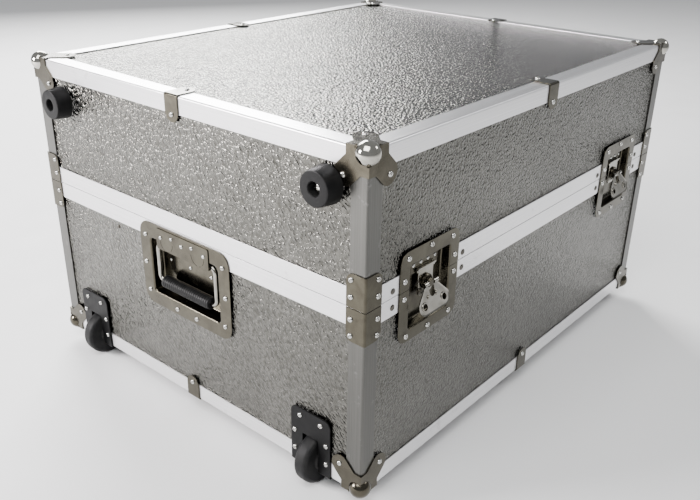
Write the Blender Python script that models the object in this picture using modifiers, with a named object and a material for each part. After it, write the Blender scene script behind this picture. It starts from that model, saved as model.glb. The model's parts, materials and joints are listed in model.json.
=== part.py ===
"""Equipment rack case: an aluminium-clad plywood case with a hinged lid.

Metres, +Z up.  The latches face -Y, the end with the wheels faces -X.  The origin is on the
floor, midway along the whole object.
"""
from math import cos, pi, radians, sin

import bmesh
import bpy
from mathutils import Matrix, Vector

# ---------------------------------------------------------------- driving dimensions
CASE_LENGTH = 0.727          # along X, over the edge extrusions
CASE_WIDTH = 0.595           # along Y
CASE_HEIGHT = 0.420          # without feet
BASE_HEIGHT = 0.243          # bottom face to the seam

GAP = 0.0003                 # between pieces that touch
SEAM_GAP = 0.0006
EDGE_WIDTH = 0.0225          # width of each extrusion flange
EDGE_WALL = 0.0015
EDGE_ROUND = 0.0012
PANEL_DEPTH = 0.0018         # how far the panels lie behind the extrusions' faces
PANEL_THICKNESS = 0.009
PLATE = 0.0012               # pressed steel fittings

BALL_RADIUS = 0.013
BALL_INSET = 0.006           # the ball's centre lies this far inside each face
CORNER_SQUARE = 0.0285       # the fitting's plate on each face
CORNER_LEG = 0.0555          # length of the diagonal leg from the corner
CORNER_LEG_HALF = 0.0135
CORNER_LEG_ROUND = 0.0125
CORNER_RELIEF = 0.020        # the extrusions stop this far from each corner

BRACKET_WIDTH = 0.0255
BRACKET_HEIGHT = 0.0405
BRACKET_ROUND = 0.008
BRACKET_PAD_INSET = 0.002    # pads behind the brackets join them to the band
CLIP_WIDTH = 0.024
CLIP_LENGTH = 0.033
CLIP_SUNK = 0.0004           # the clips bite this deep into the extrusion that they join

BAND_WEB = 0.0015
LID_BAND_WEB = 0.0060
TONGUE_INSET = 0.0055
TONGUE_WIDTH = 0.0025
TONGUE_HEIGHT = 0.0035
GROOVE_CLEARANCE = 0.0012

LATCH_FROM_LEFT = 0.113
LATCH_FROM_RIGHT = 0.120
LATCH_PIVOT_HEIGHT = 0.237   # above the bottom face
LATCH_DISH_SIZE = (0.112, 0.114)
LATCH_DISH_CENTRE = 0.233
LATCH_DISH_ROUND = 0.014
LATCH_OPENING_SIZE = (0.076, 0.080)
LATCH_OPENING_CENTRE = 0.2315
LATCH_OPENING_ROUND = 0.004
LATCH_DEPTH = 0.011

CLAW_DEPTH = (0.0045, 0.0065)
CLAW_HALF = 0.014
CLAW_HEAD_HALF = 0.017
CLAW_LOW = -0.0155
CLAW_NECK = 0.0125
CLAW_TOP = 0.020
CLAW_TRAVEL = 0.006
CLAW_NOSE = 0.003
CLAW_LIP = 0.0005
SPINDLE_RADIUS = 0.005
SPINDLE_DISC_RADIUS = 0.009
SPINDLE_DISC_DEPTH = (0.0015, 0.0042)
LUG_HALF = 0.0047
LUG_REACH = 0.0045
FOLD_AXIS_REACH = 0.0022     # how far the wing's fold axis stands out of the front face
FOLD_PIN_RADIUS = 0.0015
FOLD_PIN_HALF = 0.0118
BARREL_RADIUS = 0.0032
BARREL_SPAN = (0.0050, 0.0126)
WING_THICKNESS = 0.0016
WING_REST_ANGLE = radians(30.0)
WING_LOBE = (0.0183, 0.0233)
WING_LOBE_RADIUS = 0.0105
WING_HOLE_RADIUS = 0.0037
WING_NECK = 0.002            # straight sides below the barrels
WING_NOTCH_DEPTH = 0.008
KEEPER_HALF = 0.018
KEEPER_SPAN = (0.014, 0.031)
KEEPER_DEPTH = 0.0072

HANDLE_CENTRE_HEIGHT = 0.181
HANDLE_DISH_SIZE = (0.174, 0.120)
HANDLE_DISH_ROUND = 0.018
HANDLE_OPENING_SIZE = (0.132, 0.078)
HANDLE_OPENING_LOW = 0.141
HANDLE_OPENING_ROUND = 0.006
HANDLE_DEPTH = 0.0175
FLAP_HALF = 0.0512
FLAP_SPAN = (0.209, 0.238)
BAIL_RADIUS = 0.0035
BAIL_HALF = 0.0575
BAIL_TOP = 0.213
BAIL_LENGTH = 0.053
BAIL_DEPTH = 0.0035
BAIL_CORNER = 0.008
GRIP_RADIUS = 0.009
GRIP_LENGTH = 0.094

FOOT_REACH = 0.023           # the feet and wheels stand this far out of both faces
FOOT_BASE_RADIUS = 0.0216
FOOT_TIP_RADIUS = 0.0195
FOOT_BOSS_RADIUS = 0.011
FOOT_SCREW_RADIUS = 0.006
FOOT_SCREW_DEPTH = 0.010
FOOT_LIFT = 0.0018           # the foot's skirt clears the corner fitting's leg
FRONT_FOOT = (0.0515, 0.0466)  # from the front face, from the top face
BACK_FOOT = (0.064, 0.052)     # from the back face, from the top face

WHEEL_RADIUS = 0.034
WHEEL_HALF = 0.011
WHEEL_BORE = 0.0043
WHEEL_HUB_RADIUS = 0.013
WHEEL_HUB_STEP = 0.0015      # the hub stands this far out of the tyre's sides
WHEEL_HUB_SLOPE = 0.002
WHEEL_SHOULDER = 0.004
AXLE_RADIUS = 0.0040
WHEEL_FROM_FRONT = 0.0775
WHEEL_FROM_BACK = 0.0755
WHEEL_PLATE_HALF = 0.0315
WHEEL_PLATE_LENGTH = 0.080
WHEEL_PLATE = 0.002
WHEEL_PLATE_CORNER = 0.007
WHEEL_WELL_HALF = 0.0125
WHEEL_WELL_DEPTH = 0.0475
WHEEL_WELL_WALL = 0.002

HINGE_FROM_END = 0.120
HINGE_HALF = 0.038
HINGE_LEAF_HEIGHT = 0.036
HINGE_LEAF = 0.0014
HINGE_AXIS_REACH = 0.0065
KNUCKLE_RADIUS = 0.0045
HINGE_PIN_RADIUS = 0.0022
HINGE_BORE_RADIUS = 0.0025
KNUCKLE_SPLIT = 0.013        # the lid's knuckle reaches this far each way along the pin
KNUCKLE_GAP = 0.0005

RAIL_OPENING_HALF = 0.225    # 19 inch equipment passes between the rails
RAIL_DROP = 0.060            # rail face below the seam
RAIL_LIP = 0.020
RAIL_WALL = 0.002
RAIL_END = 0.025
RAIL_TIE = 0.020

# ---------------------------------------------------------------- derived places
WING_TIP = WING_LOBE[1] + WING_LOBE_RADIUS
FRONT_REACH = (FOLD_AXIS_REACH + WING_TIP * sin(WING_REST_ANGLE)
               + WING_THICKNESS / 2 * cos(WING_REST_ANGLE))
BACK_REACH = HINGE_AXIS_REACH + KNUCKLE_RADIUS
BALL_REACH = BALL_RADIUS - BALL_INSET

LEFT = -(CASE_LENGTH + FOOT_REACH + BALL_REACH) / 2 + FOOT_REACH
RIGHT = LEFT + CASE_LENGTH
FRONT = -(CASE_WIDTH + FRONT_REACH + BACK_REACH) / 2 + FRONT_REACH
BACK = FRONT + CASE_WIDTH
BOTTOM = FOOT_REACH
TOP = BOTTOM + CASE_HEIGHT
SEAM = BOTTOM + BASE_HEIGHT
MIDDLE_X = (LEFT + RIGHT) / 2
MIDDLE_Y = (FRONT + BACK) / 2
PANEL_BACK = PANEL_DEPTH + PANEL_THICKNESS
BAND_DEPTH = PANEL_BACK + GAP + EDGE_WALL
WHEEL_INSET = WHEEL_RADIUS - FOOT_REACH
CUT = 0.05                   # how far a cutter runs past what it cuts

# ---------------------------------------------------------------- scene and materials
for old in list(bpy.data.objects):
    bpy.data.objects.remove(old, do_unlink=True)

scene_root = bpy.context.scene.collection
parts = bpy.data.collections.new("equipment_rack_case")
cutters = bpy.data.collections.new("cutters")
scene_root.children.link(parts)
scene_root.children.link(cutters)


def material(name, color, roughness, metallic):
    made = bpy.data.materials.new(name)
    made.use_nodes = True
    shader = made.node_tree.nodes["Principled BSDF"]
    shader.inputs["Base Color"].default_value = (*color, 1.0)
    shader.inputs["Roughness"].default_value = roughness
    shader.inputs["Metallic"].default_value = metallic
    return made


def own(base, name):
    """Give a sub-part its own copy of a finish."""
    copy = base.copy()
    copy.name = name
    return copy


STUCCO = material("stucco_aluminium", (0.50, 0.49, 0.47), 0.38, 0.9)
EXTRUSION = material("anodised_aluminium", (0.82, 0.82, 0.84), 0.30, 0.9)
NICKEL = material("nickel_steel", (0.42, 0.40, 0.35), 0.25, 1.0)
BLACK_STEEL = material("black_steel", (0.02, 0.02, 0.02), 0.5, 0.3)
RUBBER = material("black_rubber", (0.03, 0.03, 0.03), 0.7, 0.0)
ZINC = material("zinc_steel", (0.60, 0.60, 0.60), 0.3, 1.0)


# ---------------------------------------------------------------- mesh helpers
def add(name, mesh, finish=None):
    """Link a mesh as a part, or as a cutter when it has no finish."""
    thing = bpy.data.objects.new(name, mesh)
    if finish is None:
        cutters.objects.link(thing)
        thing.hide_render = True
        thing.display_type = "WIRE"
    else:
        parts.objects.link(thing)
        mesh.materials.append(own(finish, name))
    return thing


def box_mesh(low, high):
    low, high = Vector(low), Vector(high)
    mesh = bpy.data.meshes.new("box")
    shape = bmesh.new()
    bmesh.ops.create_cube(shape, size=1.0)
    bmesh.ops.scale(shape, vec=high - low, verts=shape.verts)
    bmesh.ops.translate(shape, vec=(low + high) / 2, verts=shape.verts)
    shape.to_mesh(mesh)
    shape.free()
    return mesh


def box(name, low, high, finish=None):
    return add(name, box_mesh(low, high), finish)


def frame(origin, outward, up):
    """A matrix whose Z points outward and whose Y points up."""
    outward, up = Vector(outward), Vector(up)
    across = up.cross(outward)
    turned = Matrix((across, up, outward)).transposed().to_4x4()
    return Matrix.Translation(origin) @ turned


def rod_mesh(start, end, radius, segments, tip_radius=None):
    """A cylinder or a cone between two points."""
    start, end = Vector(start), Vector(end)
    along = end - start
    turned = along.to_track_quat("Z", "Y").to_matrix().to_4x4()
    place = Matrix.Translation((start + end) / 2) @ turned
    mesh = bpy.data.meshes.new("rod")
    shape = bmesh.new()
    bmesh.ops.create_cone(
        shape, cap_ends=True, cap_tris=False, segments=segments, radius1=radius,
        radius2=radius if tip_radius is None else tip_radius, depth=along.length, matrix=place)
    shape.to_mesh(mesh)
    shape.free()
    return mesh


def rod(name, start, end, radius, segments, finish=None, tip_radius=None):
    return add(name, rod_mesh(start, end, radius, segments, tip_radius), finish)


def arc(centre, radius, start, end, steps):
    """Points on an arc, angles in degrees."""
    points = []
    for step in range(steps + 1):
        angle = radians(start + (end - start) * step / steps)
        points.append((centre[0] + radius * cos(angle), centre[1] + radius * sin(angle)))
    return points


def rounded_rectangle(size, radius, centre=(0.0, 0.0), steps=4):
    half_x, half_y = size[0] / 2 - radius, size[1] / 2 - radius
    points = []
    for start, sign_x, sign_y in ((0, 1, 1), (90, -1, 1), (180, -1, -1), (270, 1, -1)):
        middle = (centre[0] + sign_x * half_x, centre[1] + sign_y * half_y)
        points += arc(middle, radius, start, start + 90, steps)
    return points


def plate_mesh(outlines, near, far, place=Matrix.Identity(4)):
    """Flat outlines, the first one the edge and the rest holes, thick from near to far in Z."""
    curve = bpy.data.curves.new("outline", "CURVE")
    curve.dimensions = "2D"
    curve.fill_mode = "BOTH"
    curve.extrude = abs(far - near) / 2
    curve.render_resolution_u = 0
    for outline in outlines:
        spline = curve.splines.new("POLY")
        spline.points.add(len(outline) - 1)
        for point, (x, y) in zip(spline.points, outline):
            point.co = (x, y, 0.0, 1.0)
        spline.use_cyclic_u = True
    holder = bpy.data.objects.new("outline", curve)
    cutters.objects.link(holder)
    bpy.context.view_layer.update()
    depsgraph = bpy.context.evaluated_depsgraph_get()
    mesh = bpy.data.meshes.new_from_object(holder.evaluated_get(depsgraph))
    bpy.data.objects.remove(holder, do_unlink=True)
    weld(mesh)
    mesh.transform(place @ Matrix.Translation((0.0, 0.0, (near + far) / 2)))
    return mesh


def plate(name, outlines, near, far, place, finish=None):
    return add(name, plate_mesh(outlines, near, far, place), finish)


def weld(mesh):
    shape = bmesh.new()
    shape.from_mesh(mesh)
    bmesh.ops.remove_doubles(shape, verts=shape.verts, dist=0.00001)
    bmesh.ops.recalc_face_normals(shape, faces=shape.faces)
    shape.to_mesh(mesh)
    shape.free()


def tube_mesh(points, radius, closed, place=Matrix.Identity(4)):
    """A wire bent along points."""
    curve = bpy.data.curves.new("wire", "CURVE")
    curve.dimensions = "3D"
    curve.bevel_depth = radius
    curve.bevel_resolution = 2
    curve.use_fill_caps = not closed
    curve.render_resolution_u = 0
    spline = curve.splines.new("POLY")
    spline.points.add(len(points) - 1)
    for point, co in zip(spline.points, points):
        point.co = (*co, 1.0)
    spline.use_cyclic_u = closed
    holder = bpy.data.objects.new("wire", curve)
    cutters.objects.link(holder)
    bpy.context.view_layer.update()
    depsgraph = bpy.context.evaluated_depsgraph_get()
    mesh = bpy.data.meshes.new_from_object(holder.evaluated_get(depsgraph))
    bpy.data.objects.remove(holder, do_unlink=True)
    weld(mesh)
    mesh.transform(place)
    return mesh


def boolean(target, tool, operation):
    step = target.modifiers.new(operation.lower(), "BOOLEAN")
    step.operation = operation
    step.solver = "EXACT"
    step.object = tool
    return target


def cut(target, *tools):
    for tool in tools:
        boolean(target, tool, "DIFFERENCE")
    return target


def join(target, *tools):
    for tool in tools:
        boolean(target, tool, "UNION")
    return target


def finished_mesh(thing):
    """The mesh a thing has after its modifiers."""
    bpy.context.view_layer.update()
    depsgraph = bpy.context.evaluated_depsgraph_get()
    return bpy.data.meshes.new_from_object(thing.evaluated_get(depsgraph))


def smooth(thing, angle=radians(30)):
    thing.data.shade_smooth()
    thing.data.set_sharp_from_angle(angle=angle)
    return thing


def wall_ring(name, low, high, inset, thickness, finish=None):
    """Four upright walls: a rectangle inset from the box, with its thickness inwards."""
    low = Vector(low) + Vector((inset, inset, 0.0))
    high = Vector(high) - Vector((inset, inset, 0.0))
    mesh = box_mesh(low, high)
    shape = bmesh.new()
    shape.from_mesh(mesh)
    caps = [face for face in shape.faces if abs(face.normal.z) > 0.5]
    bmesh.ops.delete(shape, geom=caps, context="FACES_ONLY")
    shape.to_mesh(mesh)
    shape.free()
    ring = add(name, mesh, finish)
    wall = ring.modifiers.new("wall", "SOLIDIFY")
    wall.thickness = thickness
    wall.offset = -1.0
    wall.use_even_offset = True
    return ring


# ---------------------------------------------------------------- cutters shared by pieces
def latch_places():
    return (("left", LEFT + LATCH_FROM_LEFT), ("right", RIGHT - LATCH_FROM_RIGHT))


def wheel_places():
    return (("front", FRONT + WHEEL_FROM_FRONT), ("back", BACK - WHEEL_FROM_BACK))


def latch_pockets():
    half = LATCH_OPENING_SIZE[0] / 2 + PLATE + GAP
    low = BOTTOM + LATCH_OPENING_CENTRE - LATCH_OPENING_SIZE[1] / 2 - PLATE - GAP
    high = BOTTOM + LATCH_OPENING_CENTRE + LATCH_OPENING_SIZE[1] / 2 + PLATE + GAP
    made = []
    for side, x in latch_places():
        made.append(box(f"pocket_{side}", (x - half, FRONT - CUT, low),
                        (x + half, FRONT + LATCH_DEPTH + GAP, high)))
    return made


def wheel_wells():
    half = WHEEL_WELL_HALF + WHEEL_WELL_WALL + GAP
    reach = WHEEL_WELL_DEPTH + GAP
    return [box(f"well_{side}", (LEFT - CUT, y - half, BOTTOM - CUT),
                (LEFT + reach, y + half, BOTTOM + reach)) for side, y in wheel_places()]


def handle_pocket(side, x, sign):
    half = HANDLE_OPENING_SIZE[0] / 2 + PLATE + GAP
    low = BOTTOM + HANDLE_OPENING_LOW - PLATE - GAP
    high = low + HANDLE_OPENING_SIZE[1] + 2 * (PLATE + GAP)
    xs = sorted((x + sign * CUT, x - sign * (HANDLE_DEPTH + GAP)))
    return box(f"handle_pocket_{side}", (xs[0], MIDDLE_Y - half, low), (xs[1], MIDDLE_Y + half, high))


POCKETS = latch_pockets()
WELLS = wheel_wells()


# ---------------------------------------------------------------- panels
def base_panels():
    floor_top = BOTTOM + PANEL_BACK
    low, high = floor_top + GAP, SEAM - SEAM_GAP / 2 - BAND_WEB - GAP
    left, right = LEFT + PANEL_DEPTH, RIGHT - PANEL_DEPTH
    front, back = FRONT + PANEL_DEPTH, BACK - PANEL_DEPTH
    floor = box("base_floor_panel", (left, front, BOTTOM + PANEL_DEPTH), (right, back, floor_top), STUCCO)
    cut(floor, *WELLS)
    face = box("base_front_panel", (left, front, low), (right, front + PANEL_THICKNESS, high), STUCCO)
    cut(face, *POCKETS)
    box("base_back_panel", (left, back - PANEL_THICKNESS, low), (right, back, high), STUCCO)
    end_low = (left, front + PANEL_THICKNESS + GAP, low)
    end_high = (left + PANEL_THICKNESS, back - PANEL_THICKNESS - GAP, high)
    wheel_end = box("base_wheel_end_panel", end_low, end_high, STUCCO)
    cut(wheel_end, *WELLS, handle_pocket("left", LEFT, -1))
    shift = right - left - PANEL_THICKNESS
    far_end = box("base_far_end_panel", (end_low[0] + shift, *end_low[1:]),
                  (end_high[0] + shift, *end_high[1:]), STUCCO)
    cut(far_end, handle_pocket("right", RIGHT, 1))


def lid_panels():
    lid_roof = TOP - PANEL_BACK
    low, high = SEAM + SEAM_GAP / 2 + LID_BAND_WEB + GAP, lid_roof - GAP
    left, right = LEFT + PANEL_DEPTH, RIGHT - PANEL_DEPTH
    front, back = FRONT + PANEL_DEPTH, BACK - PANEL_DEPTH
    box("lid_top_panel", (left, front, lid_roof), (right, back, TOP - PANEL_DEPTH), STUCCO)
    face = box("lid_front_panel", (left, front, low), (right, front + PANEL_THICKNESS, high), STUCCO)
    cut(face, *POCKETS)
    box("lid_back_panel", (left, back - PANEL_THICKNESS, low), (right, back, high), STUCCO)
    inner_front, inner_back = front + PANEL_THICKNESS + GAP, back - PANEL_THICKNESS - GAP
    box("lid_wheel_end_panel", (left, inner_front, low), (left + PANEL_THICKNESS, inner_back, high), STUCCO)
    box("lid_far_end_panel", (right - PANEL_THICKNESS, inner_front, low), (right, inner_back, high), STUCCO)


# ---------------------------------------------------------------- edge extrusions
def edging_mesh(low, high):
    """A rectangle of angle: four upright flanges and four flanges on the face at low Z."""
    mesh = box_mesh(low, high)
    shape = bmesh.new()
    shape.from_mesh(mesh)
    top = [face for face in shape.faces if face.normal.z > 0.5]
    bmesh.ops.delete(shape, geom=top, context="FACES_ONLY")
    bottom = [face for face in shape.faces if face.normal.z < -0.5]
    bmesh.ops.inset_region(shape, faces=bottom, thickness=EDGE_WIDTH, use_even_offset=True)
    bmesh.ops.delete(shape, geom=bottom, context="FACES_ONLY")
    shape.to_mesh(mesh)
    shape.free()
    return mesh


def add_wall(thing):
    wall = thing.modifiers.new("wall", "SOLIDIFY")
    wall.thickness = EDGE_WALL
    wall.offset = -1.0
    wall.use_even_offset = True
    return thing


def corner_reliefs(z_low, z_high, tag):
    """Blocks that clear the corners for the ball fittings."""
    made = []
    for x in (LEFT, RIGHT):
        for y in (FRONT, BACK):
            made.append(box(f"relief_{tag}", (x - CORNER_RELIEF, y - CORNER_RELIEF, z_low),
                            (x + CORNER_RELIEF, y + CORNER_RELIEF, z_high)))
    return made


def clip_mesh(place):
    """An angle strap over an edge: one leg runs down -Y of the frame, the other along -Z."""
    half = CLIP_WIDTH / 2
    leg = [(-half, PLATE), (half, PLATE)]
    leg += arc((0.0, -(CLIP_LENGTH - half)), half, 0, -180, 6)
    mesh = plate_mesh([leg], -CLIP_SUNK, PLATE)
    other = mesh.copy()
    turn = Matrix(((1, 0, 0, 0), (0, 0, 1, 0), (0, 1, 0, 0), (0, 0, 0, 1)))
    other.transform(turn)
    other.flip_normals()
    mesh.transform(place)
    other.transform(place)
    return mesh, other


def add_clips(edging, tag, places):
    for number, place in enumerate(places):
        for leg, mesh in enumerate(clip_mesh(place)):
            join(edging, add(f"clip_{tag}_{number}_{leg}", mesh))


def clip_places(z, up):
    """Frames at the middle of each edge: Z out of the wall, Y out of the top or bottom face."""
    return [
        frame((MIDDLE_X, FRONT, z), (0, -1, 0), (0, 0, up)),
        frame((RIGHT, MIDDLE_Y, z), (1, 0, 0), (0, 0, up)),
        frame((MIDDLE_X, BACK, z), (0, 1, 0), (0, 0, up)),
        frame((LEFT, MIDDLE_Y, z), (-1, 0, 0), (0, 0, up)),
    ]


def edgings():
    low, high = (LEFT, FRONT, BOTTOM), (RIGHT, BACK, BOTTOM + EDGE_WIDTH)
    between = box("between_wheels", (LEFT - CUT, FRONT + WHEEL_FROM_FRONT, BOTTOM - CUT),
                  (LEFT + CUT, BACK - WHEEL_FROM_BACK, BOTTOM + CUT))
    places = clip_places(BOTTOM, -1)
    base = add_wall(add("base_edging", edging_mesh(low, high), EXTRUSION))
    cut(base, between, *WELLS, *corner_reliefs(BOTTOM - CUT, BOTTOM + CORNER_RELIEF, "base"))
    add_clips(base, "base", places[:3])
    short = add_wall(add("base_edging_wheel_end", edging_mesh(low, high), EXTRUSION))
    boolean(short, between, "INTERSECT")
    cut(short, *WELLS)
    add_clips(short, "wheel_end", places[3:])

    mesh = edging_mesh((LEFT, FRONT, 0.0), (RIGHT, BACK, EDGE_WIDTH))
    mesh.transform(Matrix.Diagonal((1, 1, -1, 1)))
    mesh.flip_normals()
    mesh.transform(Matrix.Translation((0, 0, TOP)))
    lid = add_wall(add("lid_edging", mesh, EXTRUSION))
    cut(lid, *corner_reliefs(TOP - CORNER_RELIEF, TOP + CUT, "lid"))
    add_clips(lid, "lid", clip_places(TOP, 1))


def corner_places():
    return [(f"{end}_{side}", x, y, sx, sy)
            for end, x, sx in (("wheel_end", LEFT, 1), ("far_end", RIGHT, -1))
            for side, y, sy in (("front", FRONT, 1), ("back", BACK, -1))]


def post(name, x, y, sx, sy, low, high):
    """An upright angle on a corner of the case."""
    mesh = bpy.data.meshes.new(name)
    shape = bmesh.new()
    rows = []
    for z in (low, high):
        rows.append([shape.verts.new(co) for co in (
            (x + sx * EDGE_WIDTH, y, z), (x, y, z), (x, y + sy * EDGE_WIDTH, z))])
    for first in range(2):
        shape.faces.new((rows[0][first], rows[0][first + 1], rows[1][first + 1], rows[1][first]))
    bmesh.ops.recalc_face_normals(shape, faces=shape.faces)
    outward = Vector((-sx, -sy, 0.0))
    if shape.faces[:][0].normal.dot(outward) < 0:
        bmesh.ops.reverse_faces(shape, faces=shape.faces)
    shape.to_mesh(mesh)
    shape.free()
    thing = add_wall(add(name, mesh, EXTRUSION))
    edge = thing.modifiers.new("arris", "BEVEL")
    edge.width = EDGE_ROUND
    edge.segments = 2
    edge.limit_method = "ANGLE"
    edge.angle_limit = radians(60)
    return thing


def posts():
    base_low, base_high = BOTTOM + EDGE_WIDTH + GAP, SEAM - EDGE_WIDTH - GAP
    lid_low, lid_high = SEAM + EDGE_WIDTH + GAP, TOP - EDGE_WIDTH - GAP
    for place, x, y, sx, sy in corner_places():
        post(f"base_post_{place}", x, y, sx, sy, base_low, base_high)
        post(f"lid_post_{place}", x, y, sx, sy, lid_low, lid_high)


# ---------------------------------------------------------------- closure bands
def bracket_meshes():
    """Half of a seam bracket: two upright plates on a corner, the seam at z = 0, upwards."""
    outline = [(-PLATE - GAP, SEAM_GAP / 2), (BRACKET_WIDTH, SEAM_GAP / 2)]
    round_centre = (BRACKET_WIDTH - BRACKET_ROUND, BRACKET_HEIGHT - BRACKET_ROUND)
    outline += arc(round_centre, BRACKET_ROUND, 0, 90, 3)
    outline += [(-PLATE - GAP, BRACKET_HEIGHT)]
    front = plate_mesh([outline], GAP, GAP + PLATE)
    side = front.copy()
    to_front = Matrix(((1, 0, 0, 0), (0, 0, -1, 0), (0, 1, 0, 0), (0, 0, 0, 1)))
    to_side = Matrix(((0, 0, -1, 0), (1, 0, 0, 0), (0, 1, 0, 0), (0, 0, 0, 1)))
    front.transform(to_front)
    side.transform(to_side)
    side.flip_normals()
    pad = BRACKET_PAD_INSET
    pads = [
        box_mesh((pad, -GAP - PLATE / 2, pad), (BRACKET_WIDTH - pad, pad / 4, EDGE_WIDTH - pad)),
        box_mesh((-GAP - PLATE / 2, pad, pad), (pad / 4, BRACKET_WIDTH - pad, EDGE_WIDTH - pad)),
    ]
    return [front, side, *pads]


def add_brackets(band, tag, up):
    for place, x, y, sx, sy in corner_places():
        mirror = Matrix.Diagonal((sx, sy, up, 1))
        for number, mesh in enumerate(bracket_meshes()):
            mesh.transform(Matrix.Translation((x, y, SEAM)) @ mirror)
            if sx * sy * up < 0:
                mesh.flip_normals()
            join(band, add(f"bracket_{tag}_{place}_{number}", mesh))


def closure_bands():
    """Two channels that cap the panels at the seam, with a tongue and a groove."""
    seam_low, seam_high = SEAM - SEAM_GAP / 2, SEAM + SEAM_GAP / 2
    slot = PANEL_BACK + GAP - EDGE_WALL

    low, high = (LEFT, FRONT, seam_low - EDGE_WIDTH), (RIGHT, BACK, seam_low)
    base = wall_ring("base_closure_band", low, high, 0.0, BAND_DEPTH, EXTRUSION)
    cut(base, wall_ring("base_slot", (LEFT, FRONT, low[2] - CUT), (RIGHT, BACK, seam_low - BAND_WEB),
                        EDGE_WALL, slot))
    join(base, wall_ring("tongue", (LEFT, FRONT, seam_low - BAND_WEB),
                         (RIGHT, BACK, seam_low + TONGUE_HEIGHT), TONGUE_INSET, TONGUE_WIDTH))
    cut(base, *POCKETS)
    add_brackets(base, "base", -1)

    low, high = (LEFT, FRONT, seam_high), (RIGHT, BACK, seam_high + EDGE_WIDTH)
    lid = wall_ring("lid_closure_band", low, high, 0.0, BAND_DEPTH, EXTRUSION)
    cut(lid, wall_ring("lid_slot", (LEFT, FRONT, seam_high + LID_BAND_WEB), (RIGHT, BACK, high[2] + CUT),
                       EDGE_WALL, slot))
    cut(lid, wall_ring("groove", (LEFT, FRONT, seam_high - CUT),
                       (RIGHT, BACK, seam_low + TONGUE_HEIGHT + GROOVE_CLEARANCE),
                       TONGUE_INSET - GROOVE_CLEARANCE, TONGUE_WIDTH + 2 * GROOVE_CLEARANCE))
    cut(lid, *POCKETS)
    add_brackets(lid, "lid", 1)


# ---------------------------------------------------------------- ball corners
def corner_leg_outline():
    """One face of a corner fitting: a square at the corner and a leg along its diagonal."""
    side, half, tip, radius = CORNER_SQUARE, CORNER_LEG_HALF, CORNER_LEG, CORNER_LEG_ROUND
    notch = side - half * 2 ** 0.5
    edge = -PLATE - GAP
    outline = [(edge, edge), (side, edge), (side, notch)]
    for side_sign, start in ((-1, -45), (1, 45)):
        along, across = tip - radius, side_sign * (half - radius)
        centre = ((along - across) / 2 ** 0.5, (along + across) / 2 ** 0.5)
        outline += arc(centre, radius, start, start + 90, 3)
    outline += [(notch, side), (edge, side)]
    return outline


def ball_corner_mesh():
    """The fitting for the corner at the origin, with the case towards +X, +Y and +Z."""
    face = plate_mesh([corner_leg_outline()], GAP, GAP + PLATE)
    under = Matrix.Diagonal((1, 1, -1, 1))
    to_front = Matrix(((1, 0, 0, 0), (0, 0, -1, 0), (0, 1, 0, 0), (0, 0, 0, 1)))
    to_side = Matrix(((0, 0, -1, 0), (0, 1, 0, 0), (1, 0, 0, 0), (0, 0, 0, 1)))
    ball = bpy.data.meshes.new("ball")
    shape = bmesh.new()
    bmesh.ops.create_uvsphere(shape, u_segments=16, v_segments=10, radius=BALL_RADIUS)
    bmesh.ops.translate(shape, vec=(BALL_INSET,) * 3, verts=shape.verts)
    shape.to_mesh(ball)
    shape.free()
    fitting = add("ball", ball)
    for turn in (under, to_front, to_side):
        leg = face.copy()
        leg.transform(turn)
        if turn.determinant() < 0:
            leg.flip_normals()
        join(fitting, add("corner_leg", leg))
    inside = PANEL_DEPTH - GAP
    cut(fitting, box("corner_inside", (inside,) * 3, (CUT,) * 3))
    return finished_mesh(fitting)


def ball_corners():
    mesh = ball_corner_mesh()
    for level, z, sz in (("base", BOTTOM, 1), ("lid", TOP, -1)):
        for place, x, y, sx, sy in corner_places():
            copy = mesh.copy()
            copy.transform(Matrix.Translation((x, y, z)) @ Matrix.Diagonal((sx, sy, sz, 1)))
            if sx * sy * sz < 0:
                copy.flip_normals()
            smooth(add(f"{level}_ball_corner_{place}", copy, NICKEL))


# ---------------------------------------------------------------- latches
def dish(name, size, size_centre, size_round, opening, opening_centre, opening_round, depth, place, finish):
    """A pressed dish: a flange on the face and a pocket behind it."""
    rim = rounded_rectangle(size, size_round, (0.0, size_centre))
    hole = rounded_rectangle(opening, opening_round, (0.0, opening_centre), 2)
    outside = (opening[0] + 2 * PLATE, opening[1] + 2 * PLATE)
    wall = rounded_rectangle(outside, opening_round + PLATE, (0.0, opening_centre), 2)
    thing = plate(name, [rim], GAP, GAP + PLATE, place, finish)
    join(thing, plate(f"{name}_pocket", [wall], -depth, GAP + PLATE / 2, place))
    return cut(thing, plate(f"{name}_inside", [hole], -depth + PLATE, CUT, place))


def latch_dishes(side, x):
    place = frame((x, FRONT, BOTTOM), (0, -1, 0), (0, 0, 1))
    high = box(f"above_seam_{side}", (x - CUT * 2, FRONT - CUT, SEAM - SEAM_GAP / 2),
               (x + CUT * 2, FRONT + CUT, TOP))
    low = box(f"below_seam_{side}", (x - CUT * 2, FRONT - CUT, BOTTOM),
              (x + CUT * 2, FRONT + CUT, SEAM + SEAM_GAP / 2))
    shape = (LATCH_DISH_SIZE, LATCH_DISH_CENTRE, LATCH_DISH_ROUND, LATCH_OPENING_SIZE,
             LATCH_OPENING_CENTRE, LATCH_OPENING_ROUND, LATCH_DEPTH, place, NICKEL)
    cut(dish(f"latch_dish_{side}", *shape), high)
    keeper_dish = dish(f"latch_keeper_dish_{side}", *shape)
    cut(keeper_dish, low)
    pivot = BOTTOM + LATCH_PIVOT_HEIGHT
    keeper = box(f"keeper_{side}", (x - KEEPER_HALF, FRONT + KEEPER_DEPTH, pivot + KEEPER_SPAN[0]),
                 (x + KEEPER_HALF, FRONT + LATCH_DEPTH - PLATE / 2, pivot + KEEPER_SPAN[1]))
    join(keeper_dish, keeper)


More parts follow.
